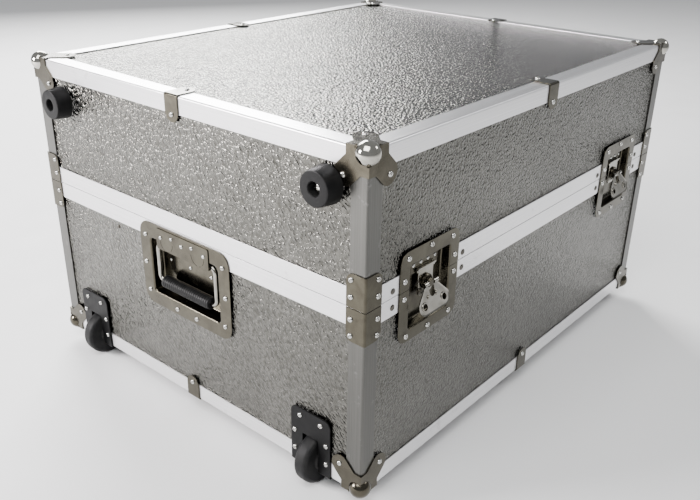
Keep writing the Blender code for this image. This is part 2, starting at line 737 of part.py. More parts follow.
def claw(side, x):
    """The hooked plate that pulls the lid down: it slides upwards as the spindle turns."""
    place = frame((x, FRONT, BOTTOM + LATCH_PIVOT_HEIGHT), (0, -1, 0), (0, 0, 1))
    neck = CLAW_NECK - (CLAW_HEAD_HALF - CLAW_HALF)
    outline = [(-CLAW_HALF, CLAW_LOW), (CLAW_HALF, CLAW_LOW), (CLAW_HALF, neck),
               (CLAW_HEAD_HALF, CLAW_NECK), (CLAW_HEAD_HALF, CLAW_TOP), (-CLAW_HEAD_HALF, CLAW_TOP),
               (-CLAW_HEAD_HALF, CLAW_NECK), (-CLAW_HALF, neck)]
    radius = SPINDLE_RADIUS + 2 * GAP
    slot = arc((0.0, 0.0), radius, 0, 180, 6) + arc((0.0, -CLAW_TRAVEL), radius, 180, 360, 6)
    thing = plate(f"latch_claw_{side}", [outline, slot], -CLAW_DEPTH[1], -CLAW_DEPTH[0], place, NICKEL)
    pivot = BOTTOM + LATCH_PIVOT_HEIGHT
    half = CLAW_HEAD_HALF + CLAW_LIP
    nose = box(f"claw_nose_{side}", (x - half, FRONT + GAP, pivot + CLAW_TOP - CLAW_NOSE),
               (x + half, FRONT + CLAW_DEPTH[1] - GAP, pivot + CLAW_TOP + CLAW_LIP))
    join(thing, nose)


def spindle(side, x):
    """The turning boss: a shank through the claw, a disc, and a lug with the wing's pin."""
    z = BOTTOM + LATCH_PIVOT_HEIGHT
    floor = LATCH_DEPTH - PLATE - GAP
    thing = rod(f"latch_spindle_{side}", (x, FRONT + floor, z), (x, FRONT + SPINDLE_DISC_DEPTH[0] + GAP, z),
                SPINDLE_RADIUS, 16, NICKEL)
    disc = rod(f"disc_{side}", (x, FRONT + SPINDLE_DISC_DEPTH[1], z), (x, FRONT + SPINDLE_DISC_DEPTH[0], z),
               SPINDLE_DISC_RADIUS, 24)
    lug = box(f"lug_{side}", (x - LUG_HALF, FRONT - LUG_REACH, z - LUG_HALF),
              (x + LUG_HALF, FRONT + SPINDLE_DISC_DEPTH[0] + GAP, z + LUG_HALF))
    axis_y = FRONT - FOLD_AXIS_REACH
    pin = rod(f"fold_pin_{side}", (x - FOLD_PIN_HALF, axis_y, z), (x + FOLD_PIN_HALF, axis_y, z),
              FOLD_PIN_RADIUS, 10)
    join(thing, disc, lug, pin)
    smooth(thing)


def wing_outline():
    """The butterfly seen flat: narrow at the pin, two round lobes below it."""
    lobe_x, lobe_y = WING_LOBE
    outline = arc((-lobe_x, -lobe_y), WING_LOBE_RADIUS, 160, 270, 5)
    outline += arc((lobe_x, -lobe_y), WING_LOBE_RADIUS, 270, 380, 5)
    half = BARREL_SPAN[1]
    outline += [(half, -WING_NECK), (half, 0.0), (-half, 0.0), (-half, -WING_NECK)]
    return outline


def wing(side, x):
    """The folding grip of the spindle."""
    axis = Vector((x, FRONT - FOLD_AXIS_REACH, BOTTOM + LATCH_PIVOT_HEIGHT))
    place = Matrix.Translation(axis) @ Matrix.Rotation(-WING_REST_ANGLE, 4, "X") @ frame(
        (0, 0, 0), (0, -1, 0), (0, 0, 1))
    holes = [arc((sign * WING_LOBE[0], -WING_LOBE[1]), WING_HOLE_RADIUS, 0, 330, 11) for sign in (-1, 1)]
    half = WING_THICKNESS / 2
    thing = plate(f"latch_wing_{side}", [wing_outline(), *holes], -half, half, place, NICKEL)
    room = LUG_HALF + GAP
    notch = [(-room, -WING_NOTCH_DEPTH), (room, -WING_NOTCH_DEPTH), (room, room), (-room, room)]
    cut(thing, plate(f"wing_notch_{side}", [notch], -CUT, CUT, place))
    for sign in (-1, 1):
        near, far = (axis + Vector((sign * span, 0, 0)) for span in BARREL_SPAN)
        join(thing, rod(f"barrel_{side}", near, far, BARREL_RADIUS, 12))
    reach = Vector((CUT, 0, 0))
    cut(thing, rod(f"barrel_bore_{side}", axis - reach, axis + reach, FOLD_PIN_RADIUS + GAP, 12))


def latches():
    for side, x in latch_places():
        latch_dishes(side, x)
        claw(side, x)
        spindle(side, x)
        wing(side, x)


# ---------------------------------------------------------------- handles
def handle_ends():
    return (("wheel_end", LEFT, -1), ("far_end", RIGHT, 1))


def handle(side, x, sign):
    place = frame((x, MIDDLE_Y, BOTTOM), (sign, 0, 0), (0, 0, 1))
    opening_centre = HANDLE_OPENING_LOW + HANDLE_OPENING_SIZE[1] / 2
    body = dish(f"handle_dish_{side}", HANDLE_DISH_SIZE, HANDLE_CENTRE_HEIGHT, HANDLE_DISH_ROUND,
                HANDLE_OPENING_SIZE, opening_centre, HANDLE_OPENING_ROUND, HANDLE_DEPTH, place, NICKEL)
    flap = [(-FLAP_HALF, FLAP_SPAN[0]), (FLAP_HALF, FLAP_SPAN[0]),
            (FLAP_HALF, FLAP_SPAN[1]), (-FLAP_HALF, FLAP_SPAN[1])]
    join(body, plate(f"flap_{side}", [flap], PLATE, GAP + 2 * PLATE, place))

    loop = rounded_rectangle((2 * BAIL_HALF, BAIL_LENGTH), BAIL_CORNER, (0.0, BAIL_TOP - BAIL_LENGTH / 2), 3)
    points = [(across, up, -BAIL_DEPTH) for across, up in loop]
    bail = add(f"handle_bail_{side}", tube_mesh(points, BAIL_RADIUS, True, place), NICKEL)
    smooth(bail)

    low = BAIL_TOP - BAIL_LENGTH
    ends = [place @ Vector((end * GRIP_LENGTH / 2, low, -BAIL_DEPTH)) for end in (-1, 1)]
    grip = rod(f"handle_grip_{side}", ends[0], ends[1], GRIP_RADIUS, 20, RUBBER)
    past = (ends[1] - ends[0]).normalized() * CUT
    cut(grip, rod(f"grip_bore_{side}", ends[0] - past, ends[1] + past, BAIL_RADIUS + GAP, 16))
    smooth(grip)


# ---------------------------------------------------------------- feet
def foot(name, base, outward, lift_from):
    """A tapered rubber foot with a sunk screw; base is on the case's face plane."""
    base, outward = Vector(base), Vector(outward)
    tip = base + outward * FOOT_REACH
    thing = rod(name, base + outward * FOOT_LIFT, tip, FOOT_BASE_RADIUS, 28, RUBBER, FOOT_TIP_RADIUS)
    join(thing, rod(f"{name}_boss", base - outward * lift_from, base + outward * 2 * FOOT_LIFT,
                    FOOT_BOSS_RADIUS, 20))
    cut(thing, rod(f"{name}_screw_hole", tip - outward * FOOT_SCREW_DEPTH, tip + outward * FOOT_LIFT,
                   FOOT_SCREW_RADIUS, 16))
    return smooth(thing)


def feet():
    sunk = PANEL_DEPTH - GAP
    foot("lid_foot_front", (LEFT, FRONT + FRONT_FOOT[0], TOP - FRONT_FOOT[1]), (-1, 0, 0), sunk)
    foot("lid_foot_back", (LEFT, BACK - BACK_FOOT[0], TOP - BACK_FOOT[1]), (-1, 0, 0), sunk)
    far = RIGHT - BACK_FOOT[0]
    foot("base_foot_front", (far, FRONT + BACK_FOOT[0], BOTTOM), (0, 0, -1), sunk)
    foot("base_foot_back", (far, BACK - BACK_FOOT[0], BOTTOM), (0, 0, -1), sunk)


# ---------------------------------------------------------------- wheels
def wheel_plate_outline(start):
    corner, half, length = WHEEL_PLATE_CORNER, WHEEL_PLATE_HALF, WHEEL_PLATE_LENGTH
    return [(-half, start), (half, start), (half, length - corner), (half - corner, length),
            (-half + corner, length), (-half, length - corner)]


def wheel_housing(side, y):
    """A folded plate over the bottom edge, with a box behind it and the axle across."""
    upright = frame((LEFT, y, BOTTOM), (-1, 0, 0), (0, 0, 1))
    under = frame((LEFT, y, BOTTOM), (0, 0, -1), (1, 0, 0))
    near, far = GAP, GAP + WHEEL_PLATE
    thing = plate(f"wheel_housing_{side}", [wheel_plate_outline(-far)], near, far, upright, BLACK_STEEL)
    overlap = near + WHEEL_PLATE / 2
    join(thing, plate(f"under_plate_{side}", [wheel_plate_outline(-overlap)], near, far, under))
    outer = WHEEL_WELL_HALF + WHEEL_WELL_WALL
    well = box(f"well_box_{side}", (LEFT - far, y - outer, BOTTOM - far),
               (LEFT + WHEEL_WELL_DEPTH, y + outer, BOTTOM + WHEEL_WELL_DEPTH))
    inside = WHEEL_WELL_DEPTH - WHEEL_WELL_WALL
    hollow = box(f"well_inside_{side}", (LEFT - CUT, y - WHEEL_WELL_HALF, BOTTOM - CUT),
                 (LEFT + inside, y + WHEEL_WELL_HALF, BOTTOM + inside))
    cut(join(thing, well), hollow)
    x, z = LEFT + WHEEL_INSET, BOTTOM + WHEEL_INSET
    reach = WHEEL_WELL_HALF + WHEEL_WELL_WALL / 2
    join(thing, rod(f"axle_{side}", (x, y - reach, z), (x, y + reach, z), AXLE_RADIUS, 16))


def wheel(side, y):
    """A tyre with rounded shoulders, turned about the axle."""
    face = WHEEL_HALF - WHEEL_HUB_STEP
    half_profile = [
        (WHEEL_BORE, WHEEL_HALF), (WHEEL_HUB_RADIUS, WHEEL_HALF),
        (WHEEL_HUB_RADIUS + WHEEL_HUB_SLOPE, face), (WHEEL_RADIUS - WHEEL_SHOULDER, face),
        (WHEEL_RADIUS, face - WHEEL_SHOULDER)]
    profile = half_profile + [(radius, -height) for radius, height in reversed(half_profile)]
    mesh = bpy.data.meshes.new(f"wheel_{side}")
    mesh.from_pydata([(r, 0.0, h) for r, h in profile],
                     [(i, (i + 1) % len(profile)) for i in range(len(profile))], [])
    thing = add(f"wheel_{side}", mesh, RUBBER)
    turn = thing.modifiers.new("turn", "SCREW")
    turn.angle = 2 * pi
    turn.steps = 32
    turn.render_steps = 32
    turn.use_merge_vertices = True
    turn.merge_threshold = 0.00005
    thing.location = (LEFT + WHEEL_INSET, y, BOTTOM + WHEEL_INSET)
    thing.rotation_euler = (pi / 2, 0.0, 0.0)


def wheels():
    for side, y in wheel_places():
        wheel_housing(side, y)
        wheel(side, y)


# ---------------------------------------------------------------- hinges
def hinge_leaf(name, x, up, spans, finish):
    """A leaf with its knuckles: up is 1 on the lid and -1 on the base."""
    face = BACK + GAP
    start, end = SEAM + up * SEAM_GAP, SEAM + up * HINGE_LEAF_HEIGHT
    thing = box(name, (x - HINGE_HALF, face, min(start, end)),
                (x + HINGE_HALF, face + HINGE_LEAF, max(start, end)), finish)
    axis = BACK + HINGE_AXIS_REACH
    for number, (near, far) in enumerate(spans):
        web_end = SEAM + up * KNUCKLE_RADIUS
        web_start = SEAM + up * 2 * SEAM_GAP
        web = box(f"{name}_web_{number}", (x + near + GAP, face + HINGE_LEAF / 2, min(web_start, web_end)),
                  (x + far - GAP, axis, max(web_start, web_end)))
        knuckle = rod(f"{name}_knuckle_{number}", (x + near, axis, SEAM), (x + far, axis, SEAM),
                      KNUCKLE_RADIUS, 16)
        join(thing, web, knuckle)
    return thing


def hinges():
    axis = BACK + HINGE_AXIS_REACH
    for side, x in (("wheel_end", LEFT + HINGE_FROM_END), ("far_end", RIGHT - HINGE_FROM_END)):
        middle = [(-KNUCKLE_SPLIT, KNUCKLE_SPLIT)]
        end, split = HINGE_HALF - KNUCKLE_GAP, KNUCKLE_SPLIT + KNUCKLE_GAP
        outer = [(-end, -split), (split, end)]
        base = hinge_leaf(f"hinge_base_leaf_{side}", x, -1, outer, ZINC)
        pin = rod(f"hinge_pin_{side}", (x - split - GAP, axis, SEAM), (x + split + GAP, axis, SEAM),
                  HINGE_PIN_RADIUS, 12)
        join(base, pin)
        lid = hinge_leaf(f"hinge_lid_leaf_{side}", x, 1, middle, ZINC)
        reach = HINGE_HALF + KNUCKLE_GAP
        cut(lid, rod(f"hinge_bore_{side}", (x - reach, axis, SEAM), (x + reach, axis, SEAM),
                     HINGE_BORE_RADIUS, 12))


# ---------------------------------------------------------------- rack frame
def rack_frame():
    """Two rails for 19 inch equipment that faces up, tied at both ends."""
    face = SEAM - RAIL_DROP
    wall_y = CASE_WIDTH / 2 - PANEL_BACK - 2 * GAP
    left, right = LEFT + RAIL_END, RIGHT - RAIL_END
    thing = None
    for side, sign in (("front", -1), ("back", 1)):
        strips = (
            (RAIL_OPENING_HALF, wall_y, face - RAIL_WALL, face),
            (RAIL_OPENING_HALF, RAIL_OPENING_HALF + RAIL_WALL, face - RAIL_LIP, face),
            (wall_y - RAIL_WALL, wall_y, face - RAIL_WALL, face + RAIL_LIP),
        )
        for number, (near, far, low, high) in enumerate(strips):
            ys = sorted((MIDDLE_Y + sign * near, MIDDLE_Y + sign * far))
            finish = BLACK_STEEL if thing is None else None
            name = "rack_frame" if thing is None else f"rail_{side}_{number}"
            strip = box(name, (left, ys[0], low), (right, ys[1], high), finish)
            thing = strip if thing is None else join(thing, strip)
    for x in (left, right - RAIL_TIE):
        tie = box("rail_tie", (x, MIDDLE_Y - RAIL_OPENING_HALF - RAIL_WALL / 2, face - RAIL_LIP),
                  (x + RAIL_TIE, MIDDLE_Y + RAIL_OPENING_HALF + RAIL_WALL / 2, face - RAIL_LIP + RAIL_WALL))
        join(thing, tie)


# ---------------------------------------------------------------- moving pieces
def hang(axis_name, place, names, parent=None):
    """Parent pieces to an empty on their joint's axis."""
    axis = bpy.data.objects.new(axis_name, None)
    parts.objects.link(axis)
    axis.location = place
    axis.empty_display_size = CUT
    bpy.context.view_layer.update()
    for piece in [parts.objects[name] for name in names]:
        piece.parent = axis
        piece.matrix_parent_inverse = axis.matrix_world.inverted()
    if parent is not None:
        axis.parent = parent
        axis.matrix_parent_inverse = parent.matrix_world.inverted()
    return axis


def hang_moving_pieces():
    lid_names = [thing.name for thing in parts.objects
                 if thing.name.startswith(("lid_", "hinge_lid_", "latch_keeper_"))]
    hang("lid_axis", (MIDDLE_X, BACK + HINGE_AXIS_REACH, SEAM), lid_names)
    for side, x in latch_places():
        z = BOTTOM + LATCH_PIVOT_HEIGHT
        turn = hang(f"latch_axis_{side}", (x, FRONT, z), [f"latch_spindle_{side}", f"latch_claw_{side}"])
        fold_place = (x, FRONT - FOLD_AXIS_REACH, z)
        hang(f"latch_fold_axis_{side}", fold_place, [f"latch_wing_{side}"], turn)
    for side, x, sign in handle_ends():
        place = (x - sign * BAIL_DEPTH, MIDDLE_Y, BOTTOM + BAIL_TOP)
        hang(f"handle_axis_{side}", place, [f"handle_bail_{side}", f"handle_grip_{side}"])


# ---------------------------------------------------------------- the case
base_panels()
lid_panels()
edgings()
posts()
closure_bands()
ball_corners()
latches()
for end in handle_ends():
    handle(*end)
feet()
wheels()
hinges()
rack_frame()
hang_moving_pieces()
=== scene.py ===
# %% [markdown]
# # An aluminium-edged equipment case
# A flight case is thin plywood faced with embossed aluminium sheet.  Angle extrusions hold its edges,
# steel balls guard its corners, and every fitting is riveted on.  The CAD frame already holds each
# piece at its true size and place, so this lesson gives the pieces their looks: rounded edges that
# catch the light, pressed dishes, rivets, and a finish for every metal.

# %% Load the frame
import json
from math import cos, pi, radians, sin

import bmesh
import bpy
from mathutils import Matrix, Vector


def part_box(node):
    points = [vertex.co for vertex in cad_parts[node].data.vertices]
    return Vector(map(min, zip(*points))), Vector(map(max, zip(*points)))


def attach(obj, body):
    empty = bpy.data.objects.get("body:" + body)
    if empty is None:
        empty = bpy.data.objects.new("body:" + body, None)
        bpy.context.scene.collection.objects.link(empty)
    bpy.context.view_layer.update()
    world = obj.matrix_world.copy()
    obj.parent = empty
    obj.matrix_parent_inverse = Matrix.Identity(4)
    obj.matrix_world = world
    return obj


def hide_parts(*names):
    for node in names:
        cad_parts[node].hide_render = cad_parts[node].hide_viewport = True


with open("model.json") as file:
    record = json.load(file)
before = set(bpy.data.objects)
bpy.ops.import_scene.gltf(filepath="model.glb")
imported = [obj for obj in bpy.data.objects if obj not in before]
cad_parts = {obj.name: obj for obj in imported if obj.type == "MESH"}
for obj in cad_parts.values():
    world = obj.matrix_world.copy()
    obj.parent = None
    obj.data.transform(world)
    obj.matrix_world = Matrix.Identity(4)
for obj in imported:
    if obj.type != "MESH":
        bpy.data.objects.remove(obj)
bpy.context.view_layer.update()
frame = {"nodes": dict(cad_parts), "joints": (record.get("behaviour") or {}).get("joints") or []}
nodes = frame["nodes"]

# %% [markdown]
# ## Where things are
# The case is a plain box inside its fittings.  The upright posts give its sides, the floor and top
# panels give its height, and the gap between the halves of a latch's dish gives the seam.

# %% Read the case's faces from the frame
PANEL_DEPTH = 0.0018  # how far a board's face lies behind the case's own faces
EDGE = 0.0225  # the width of an extrusion's flange
WALL = 0.0015  # the thickness of an extrusion
PLATE = 0.0012  # the thickness of a pressed fitting
GAP = 0.0003  # the clearance between a fitting and what it is riveted to
PROUD = GAP + PLATE  # how far a fitting's outer side stands off the case

LEFT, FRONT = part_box("base_post_wheel_end_front")[0][:2]
RIGHT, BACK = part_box("base_post_far_end_back")[1][:2]
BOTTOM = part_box("base_floor_panel")[0][2] - PANEL_DEPTH
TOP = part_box("lid_top_panel")[1][2] + PANEL_DEPTH
SEAM = (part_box("latch_dish_left")[1][2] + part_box("latch_keeper_dish_left")[0][2]) / 2
MIDDLE = Vector(((LEFT + RIGHT) / 2, (FRONT + BACK) / 2, (BOTTOM + TOP) / 2))


def joint_height(name):
    return next(joint["pos_m"][2] for joint in frame["joints"] if joint["name"] == name)


print("case", [round(side, 4) for side in (RIGHT - LEFT, BACK - FRONT, TOP - BOTTOM)])
print("seam", round(SEAM, 4), "above the bottom", round(SEAM - BOTTOM, 4))

# %% [markdown]
# ## Camera
# The camera looks down on the near corner from the latch side and the wheel end.  It is placed from
# the case's own faces, so that it would follow the case if the frame moved.

# %% Make the camera
CAMERA_PLACE = Vector((LEFT - 0.5728, FRONT - 0.4635, BOTTOM + 0.6625))
CAMERA_AIM = Vector((0.69014, 0.58501, -0.42599))
CAMERA_ROLL = radians(0.95)
lens = bpy.data.cameras.new("camera")
lens.lens = 42.0
lens.clip_start = 0.01
camera = bpy.data.objects.new("camera", lens)
bpy.context.scene.collection.objects.link(camera)
turned_to = CAMERA_AIM.to_track_quat("-Z", "Y").to_matrix().to_4x4()
camera.matrix_world = Matrix.Translation(CAMERA_PLACE) @ turned_to @ Matrix.Rotation(CAMERA_ROLL, 4, "Z")
bpy.context.scene.camera = camera
print("camera at", [round(v, 3) for v in CAMERA_PLACE])

# %% [markdown]
# ## Light
# Metal shows what it reflects, so the room does most of the work: it is an even pale grey.  A broad
# panel above and another behind brighten the top.  The panel at the wheel end is small and strong,
# because a large one would wash out the embossing, and a small one puts a glint on every pebble.
# A weak panel at the front draws a bright line along the lower lips.


# %% Make the lights
def area_light(name, place, aim, size, power, tint=(1.0, 1.0, 1.0)):
    lamp = bpy.data.lights.new(name, "AREA")
    lamp.shape = "RECTANGLE"
    lamp.size, lamp.size_y = size
    lamp.energy = power
    lamp.color = tint
    holder = bpy.data.objects.new(name, lamp)
    bpy.context.scene.collection.objects.link(holder)
    holder.location = place
    holder.rotation_euler = (Vector(aim) - Vector(place)).to_track_quat("-Z", "Y").to_euler()


area_light("end_softbox", (-2.2, 1.5, 1.0), (-0.35, 0.0, 0.25), (0.8, 0.7), 125, (1.0, 0.965, 0.975))
area_light("high_softbox", (-1.5, -0.5, 2.3), (0.0, 0.0, 0.2), (1.8, 1.6), 75)
area_light("back_softbox", (1.2, 2.3, 1.7), (-0.2, -0.1, 0.4), (1.7, 1.3), 190)
area_light("front_softbox", (1.8, -1.6, 2.0), (-0.2, -0.3, 0.2), (0.6, 0.6), 18)
world = bpy.data.worlds.new("studio")
bpy.context.scene.world = world
world.use_nodes = True
room = world.node_tree.nodes["Background"]
room.inputs["Color"].default_value = (0.95, 0.97, 1.0, 1.0)
room.inputs["Strength"].default_value = 0.38

# %% [markdown]
# ## Helpers for modelling
# Every piece starts as a primitive and is shaped in edit mode, as by hand.  An operator acts on
# all that is selected, so these helpers first clear the selection and then pick faces or edges by
# where they are and which way they face.


# %% Select and start
def clear_selection():
    for thing in bpy.context.selected_objects:
        thing.select_set(False)


def activate(thing):
    clear_selection()
    thing.select_set(True)
    bpy.context.view_layer.objects.active = thing


def take_new(name):
    """Name the primitive that was just added and apply its place."""
    thing = bpy.context.object
    thing.name = name
    bpy.ops.object.transform_apply(location=True, rotation=True, scale=True)
    return thing


def add_box(name, low, high):
    clear_selection()
    low, high = Vector(low), Vector(high)
    bpy.ops.mesh.primitive_cube_add(size=1.0, location=(low + high) / 2, scale=high - low)
    return take_new(name)


def add_drum(name, start, end, radius, sides=32):
    clear_selection()
    start, end = Vector(start), Vector(end)
    turn = (end - start).to_track_quat("Z", "Y").to_euler()
    bpy.ops.mesh.primitive_cylinder_add(
        vertices=sides, radius=radius, depth=(end - start).length, location=(start + end) / 2,
        rotation=turn)
    return take_new(name)


def edit(thing, kind="FACE"):
    activate(thing)
    bpy.ops.object.mode_set(mode="EDIT")
    bpy.ops.mesh.select_mode(type=kind)
    bpy.ops.mesh.select_all(action="DESELECT")


def leave_edit():
    bpy.ops.object.mode_set(mode="OBJECT")


def pick(thing, kind, test):
    """Add to the selection the faces, edges or verts that pass a test."""
    shape = bmesh.from_edit_mesh(thing.data)
    for part in getattr(shape, kind):
        if test(part):
            part.select_set(True)
    bmesh.update_edit_mesh(thing.data)


def pick_faces(thing, test):
    pick(thing, "faces", test)


def pick_edges(thing, test):
    pick(thing, "edges", test)


def pick_points(thing, test):
    pick(thing, "verts", test)


def edge_middle(line):
    return (line.verts[0].co + line.verts[1].co) / 2


def edge_way(line):
    return (line.verts[1].co - line.verts[0].co).normalized()


def upright(line):
    return abs(edge_way(line).z) > 0.9


# %% [markdown]
# Modifiers finish a shape and are applied at once, so that every finished piece is a plain mesh
# with its object at the origin.  Flat faces beside a rounded edge would shade as if they bulged, so
# the normals are weighted by face size at the end, which keeps the flats flat.


# %% Finish a shape
def apply_modifier(thing, kind, **settings):
    step = thing.modifiers.new(kind.lower(), kind)
    for key, value in settings.items():
        setattr(step, key, value)
    activate(thing)
    bpy.ops.object.modifier_apply(modifier=step.name)
    return thing


def thicken(thing, wall):
    """Give a sheet its wall, inwards from the side that shows."""
    return apply_modifier(thing, "SOLIDIFY", thickness=wall, offset=-1.0, use_even_offset=True)


def soften(thing, width, segments=2, angle=radians(40)):
    """Round every edge sharper than an angle, so that it catches the light."""
    return apply_modifier(thing, "BEVEL", width=width, segments=segments, limit_method="ANGLE",
                          angle_limit=angle, use_clamp_overlap=True)


def combine(thing, tool, operation):
    """Join or cut with another closed mesh, which is used up."""
    apply_modifier(thing, "BOOLEAN", operation=operation, object=tool, solver="EXACT")
    bpy.data.objects.remove(tool, do_unlink=True)
    return thing


def cut(thing, *tools):
    for tool in tools:
        combine(thing, tool, "DIFFERENCE")
    return thing


def weld_on(thing, *tools):
    for tool in tools:
        combine(thing, tool, "UNION")
    return thing


def gather(name, things):
    """Several loose shells as one piece."""
    clear_selection()
    for thing in things:
        thing.select_set(True)
    bpy.context.view_layer.objects.active = things[0]
    bpy.ops.object.join()
    things[0].name = name
    return things[0]


def copy_to(thing, name, place):
    """A copy with its own mesh, set in place, with the place applied."""
    copy = bpy.data.objects.new(name, thing.data.copy())
    bpy.context.scene.collection.objects.link(copy)
    copy.matrix_world = place
    activate(copy)
    bpy.ops.object.transform_apply(location=True, rotation=True, scale=True)
    return copy


def drop(thing):
    bpy.data.objects.remove(thing, do_unlink=True)


def face_frame(origin, outward, up):
    """A matrix whose Z points out of a face of the case and whose Y points up it."""
    outward, up = Vector(outward), Vector(up)
    turn = Matrix((up.cross(outward), up, outward)).transposed().to_4x4()
    return Matrix.Translation(origin) @ turn


def dress(thing, material):
    thing.data.materials.clear()
    thing.data.materials.append(material)


def settle(thing, material, body, slot_name, *cad_nodes):
    """Give a finished piece its material, its body and the nodes that it stands for."""
    dress(thing, material)
    activate(thing)
    bpy.ops.object.shade_smooth_by_angle(angle=radians(35))
    apply_modifier(thing, "WEIGHTED_NORMAL", keep_sharp=True)
    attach(thing, body)
    if cad_nodes:
        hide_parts(*cad_nodes)
    return thing


# %% [markdown]
# ## Helpers for finishes
# Each finish is one Principled shader.  Its colour, roughness and relief come from noise in
# Object coordinates, which are metres here, so a texture scale of 250 means detail of 4 mm.


# %% Build node groups by small steps
class Finish:
    """A material under construction."""

    def __init__(self, name, color, metallic, roughness):
        self.material = bpy.data.materials.new(name)
        self.material.use_nodes = True
        self.tree = self.material.node_tree
        self.shader = self.tree.nodes["Principled BSDF"]
        self.shader.inputs["Base Color"].default_value = (*color, 1.0)
        self.shader.inputs["Metallic"].default_value = metallic
        self.shader.inputs["Roughness"].default_value = roughness
        self.where = self.tree.nodes.new("ShaderNodeTexCoord").outputs["Object"]

    def node(self, kind, values=None, **settings):
        """Add a node, with values for its sockets and settings for the node itself."""
        made = self.tree.nodes.new(kind)
        for key, value in settings.items():
            setattr(made, key, value)
        for socket, value in (values or {}).items():
            made.inputs[socket].default_value = value
        return made

    def link(self, output, node, socket):
        self.tree.links.new(output, node.inputs[socket])

    def stretched(self, scale):
        """Object coordinates drawn out along the axis that has the small scale."""
        mapping = self.node("ShaderNodeMapping", {"Scale": scale})
        self.link(self.where, mapping, "Vector")
        return mapping.outputs["Vector"]

    def noise(self, scale, detail=2.0, rough=0.5, distortion=0.0, vector=None):
        made = self.node("ShaderNodeTexNoise", {"Scale": scale, "Detail": detail, "Roughness": rough,
                                                "Distortion": distortion})
        self.link(vector or self.where, made, "Vector")
        return made.outputs["Fac"]

    def cells(self, scale, vector):
        made = self.node("ShaderNodeTexVoronoi", feature="SMOOTH_F1")
        made.inputs["Scale"].default_value = scale
        self.link(vector, made, "Vector")
        return made.outputs["Distance"]

    def spread(self, value, low, high, to_low=0.0, to_high=1.0):
        """Stretch the range from low to high over the range from to_low to to_high."""
        made = self.node("ShaderNodeMapRange", {"From Min": low, "From Max": high, "To Min": to_low,
                                                "To Max": to_high})
        self.link(value, made, "Value")
        return made.outputs["Result"]

    def maths(self, operation, first, second):
        made = self.node("ShaderNodeMath", operation=operation)
        for number, value in enumerate((first, second)):
            if isinstance(value, (int, float)):
                made.inputs[number].default_value = value
            else:
                self.tree.links.new(value, made.inputs[number])
        return made.outputs["Value"]

    def blend(self, share, first, second):
        """Mix two colours, each a colour or an output."""
        made = self.node("ShaderNodeMix", data_type="RGBA")
        self.link(share, made, 0)
        for number, value in ((6, first), (7, second)):
            if isinstance(value, tuple):
                made.inputs[number].default_value = (*value, 1.0)
            else:
                self.tree.links.new(value, made.inputs[number])
        return made.outputs[2]

    def color(self, output):
        self.link(output, self.shader, "Base Color")

    def roughness(self, output):
        self.link(output, self.shader, "Roughness")

    def metallic(self, output):
        self.link(output, self.shader, "Metallic")

    def relief(self, height, strength, distance):
        bump = self.node("ShaderNodeBump", {"Strength": strength, "Distance": distance})
        self.link(height, bump, "Height")
        self.link(bump.outputs["Normal"], self.shader, "Normal")


# %% [markdown]
# ## Stucco-embossed aluminium on plywood
# The sheet is rolled with small raised pebbles, each a few millimetres across, that run together
# and lean one way.  They could be modelled, but there are many thousands, so they are relief in the
# finish: Voronoi cells, warped by noise and drawn out along a diagonal, with finer noise on top.
# Only the outer skin of a board is metal.  A board is bare birch plywood inside, so the finish
# changes with depth below the case's faces.


# %% Make the board finish
SHEET = 0.0008


def board_finish():
    made = Finish("stucco_aluminium_on_plywood", (0.5, 0.5, 0.5), 1.0, 0.3)
    half = Vector((RIGHT - LEFT, BACK - FRONT, TOP - BOTTOM)) / 2
    skin = PANEL_DEPTH + SHEET
    parts = made.node("ShaderNodeSeparateXYZ")
    made.link(made.where, parts, "Vector")
    inside = None
    for axis in range(3):
        offset = made.maths("SUBTRACT", parts.outputs[axis], MIDDLE[axis])
        reach = made.maths("ABSOLUTE", offset, 0.0)
        within = made.maths("LESS_THAN", reach, half[axis] - skin)
        inside = within if inside is None else made.maths("MULTIPLY", inside, within)
    warp = made.noise(200, 1.0, 0.5)
    warped = made.node("ShaderNodeVectorMath", operation="ADD")
    made.link(made.where, warped, 0)
    push = made.node("ShaderNodeCombineXYZ")
    shift = made.maths("MULTIPLY", made.maths("SUBTRACT", warp, 0.5), 0.002)
    for axis in range(3):
        made.link(shift, push, axis)
    made.link(push.outputs["Vector"], warped, 1)
    slant = {"Rotation": (radians(45), 0.0, 0.0), "Scale": (1.0, 1.7, 1.0)}
    drawn_out = made.node("ShaderNodeMapping", slant, vector_type="TEXTURE")
    made.link(warped.outputs["Vector"], drawn_out, "Vector")
    gaps = made.cells(390, drawn_out.outputs["Vector"])
    pebbles = made.spread(gaps, 0.15, 0.75, 1.0, 0.0)
    fine = made.noise(1000, 2.0, 0.6)
    height = made.maths("ADD", pebbles, made.maths("MULTIPLY", fine, 0.25))
    broad = made.noise(9, 3.0, 0.6)
    # The metal is painted darker in the gaps between the pebbles and lighter on their tops: painted
    # shade.
    metal = made.blend(made.spread(pebbles, 0.1, 0.8), (0.078, 0.076, 0.067), (0.158, 0.154, 0.140))
    metal = made.blend(made.spread(broad, 0.35, 0.7, 0.0, 0.35), metal, (0.070, 0.069, 0.060))
    grain_way = made.stretched((1.0, 14.0, 14.0))
    grain = made.noise(9, 4.0, 0.65, 0.4, grain_way)
    wood = made.blend(made.spread(grain, 0.35, 0.65), (0.42, 0.27, 0.14), (0.60, 0.43, 0.26))
    made.color(made.blend(inside, metal, wood))
    metal_rough = made.spread(fine, 0.3, 0.7, 0.09, 0.20)
    rough = made.node("ShaderNodeMix")
    made.link(inside, rough, 0)
    made.tree.links.new(metal_rough, rough.inputs[2])
    rough.inputs[3].default_value = 0.62
    made.roughness(rough.outputs[0])
    made.metallic(made.spread(inside, 0.0, 1.0, 1.0, 0.0))
    flattened = made.maths("MULTIPLY", height, made.spread(inside, 0.0, 1.0, 1.0, 0.06))
    made.relief(flattened, 1.0, 0.0009)
    return made.material


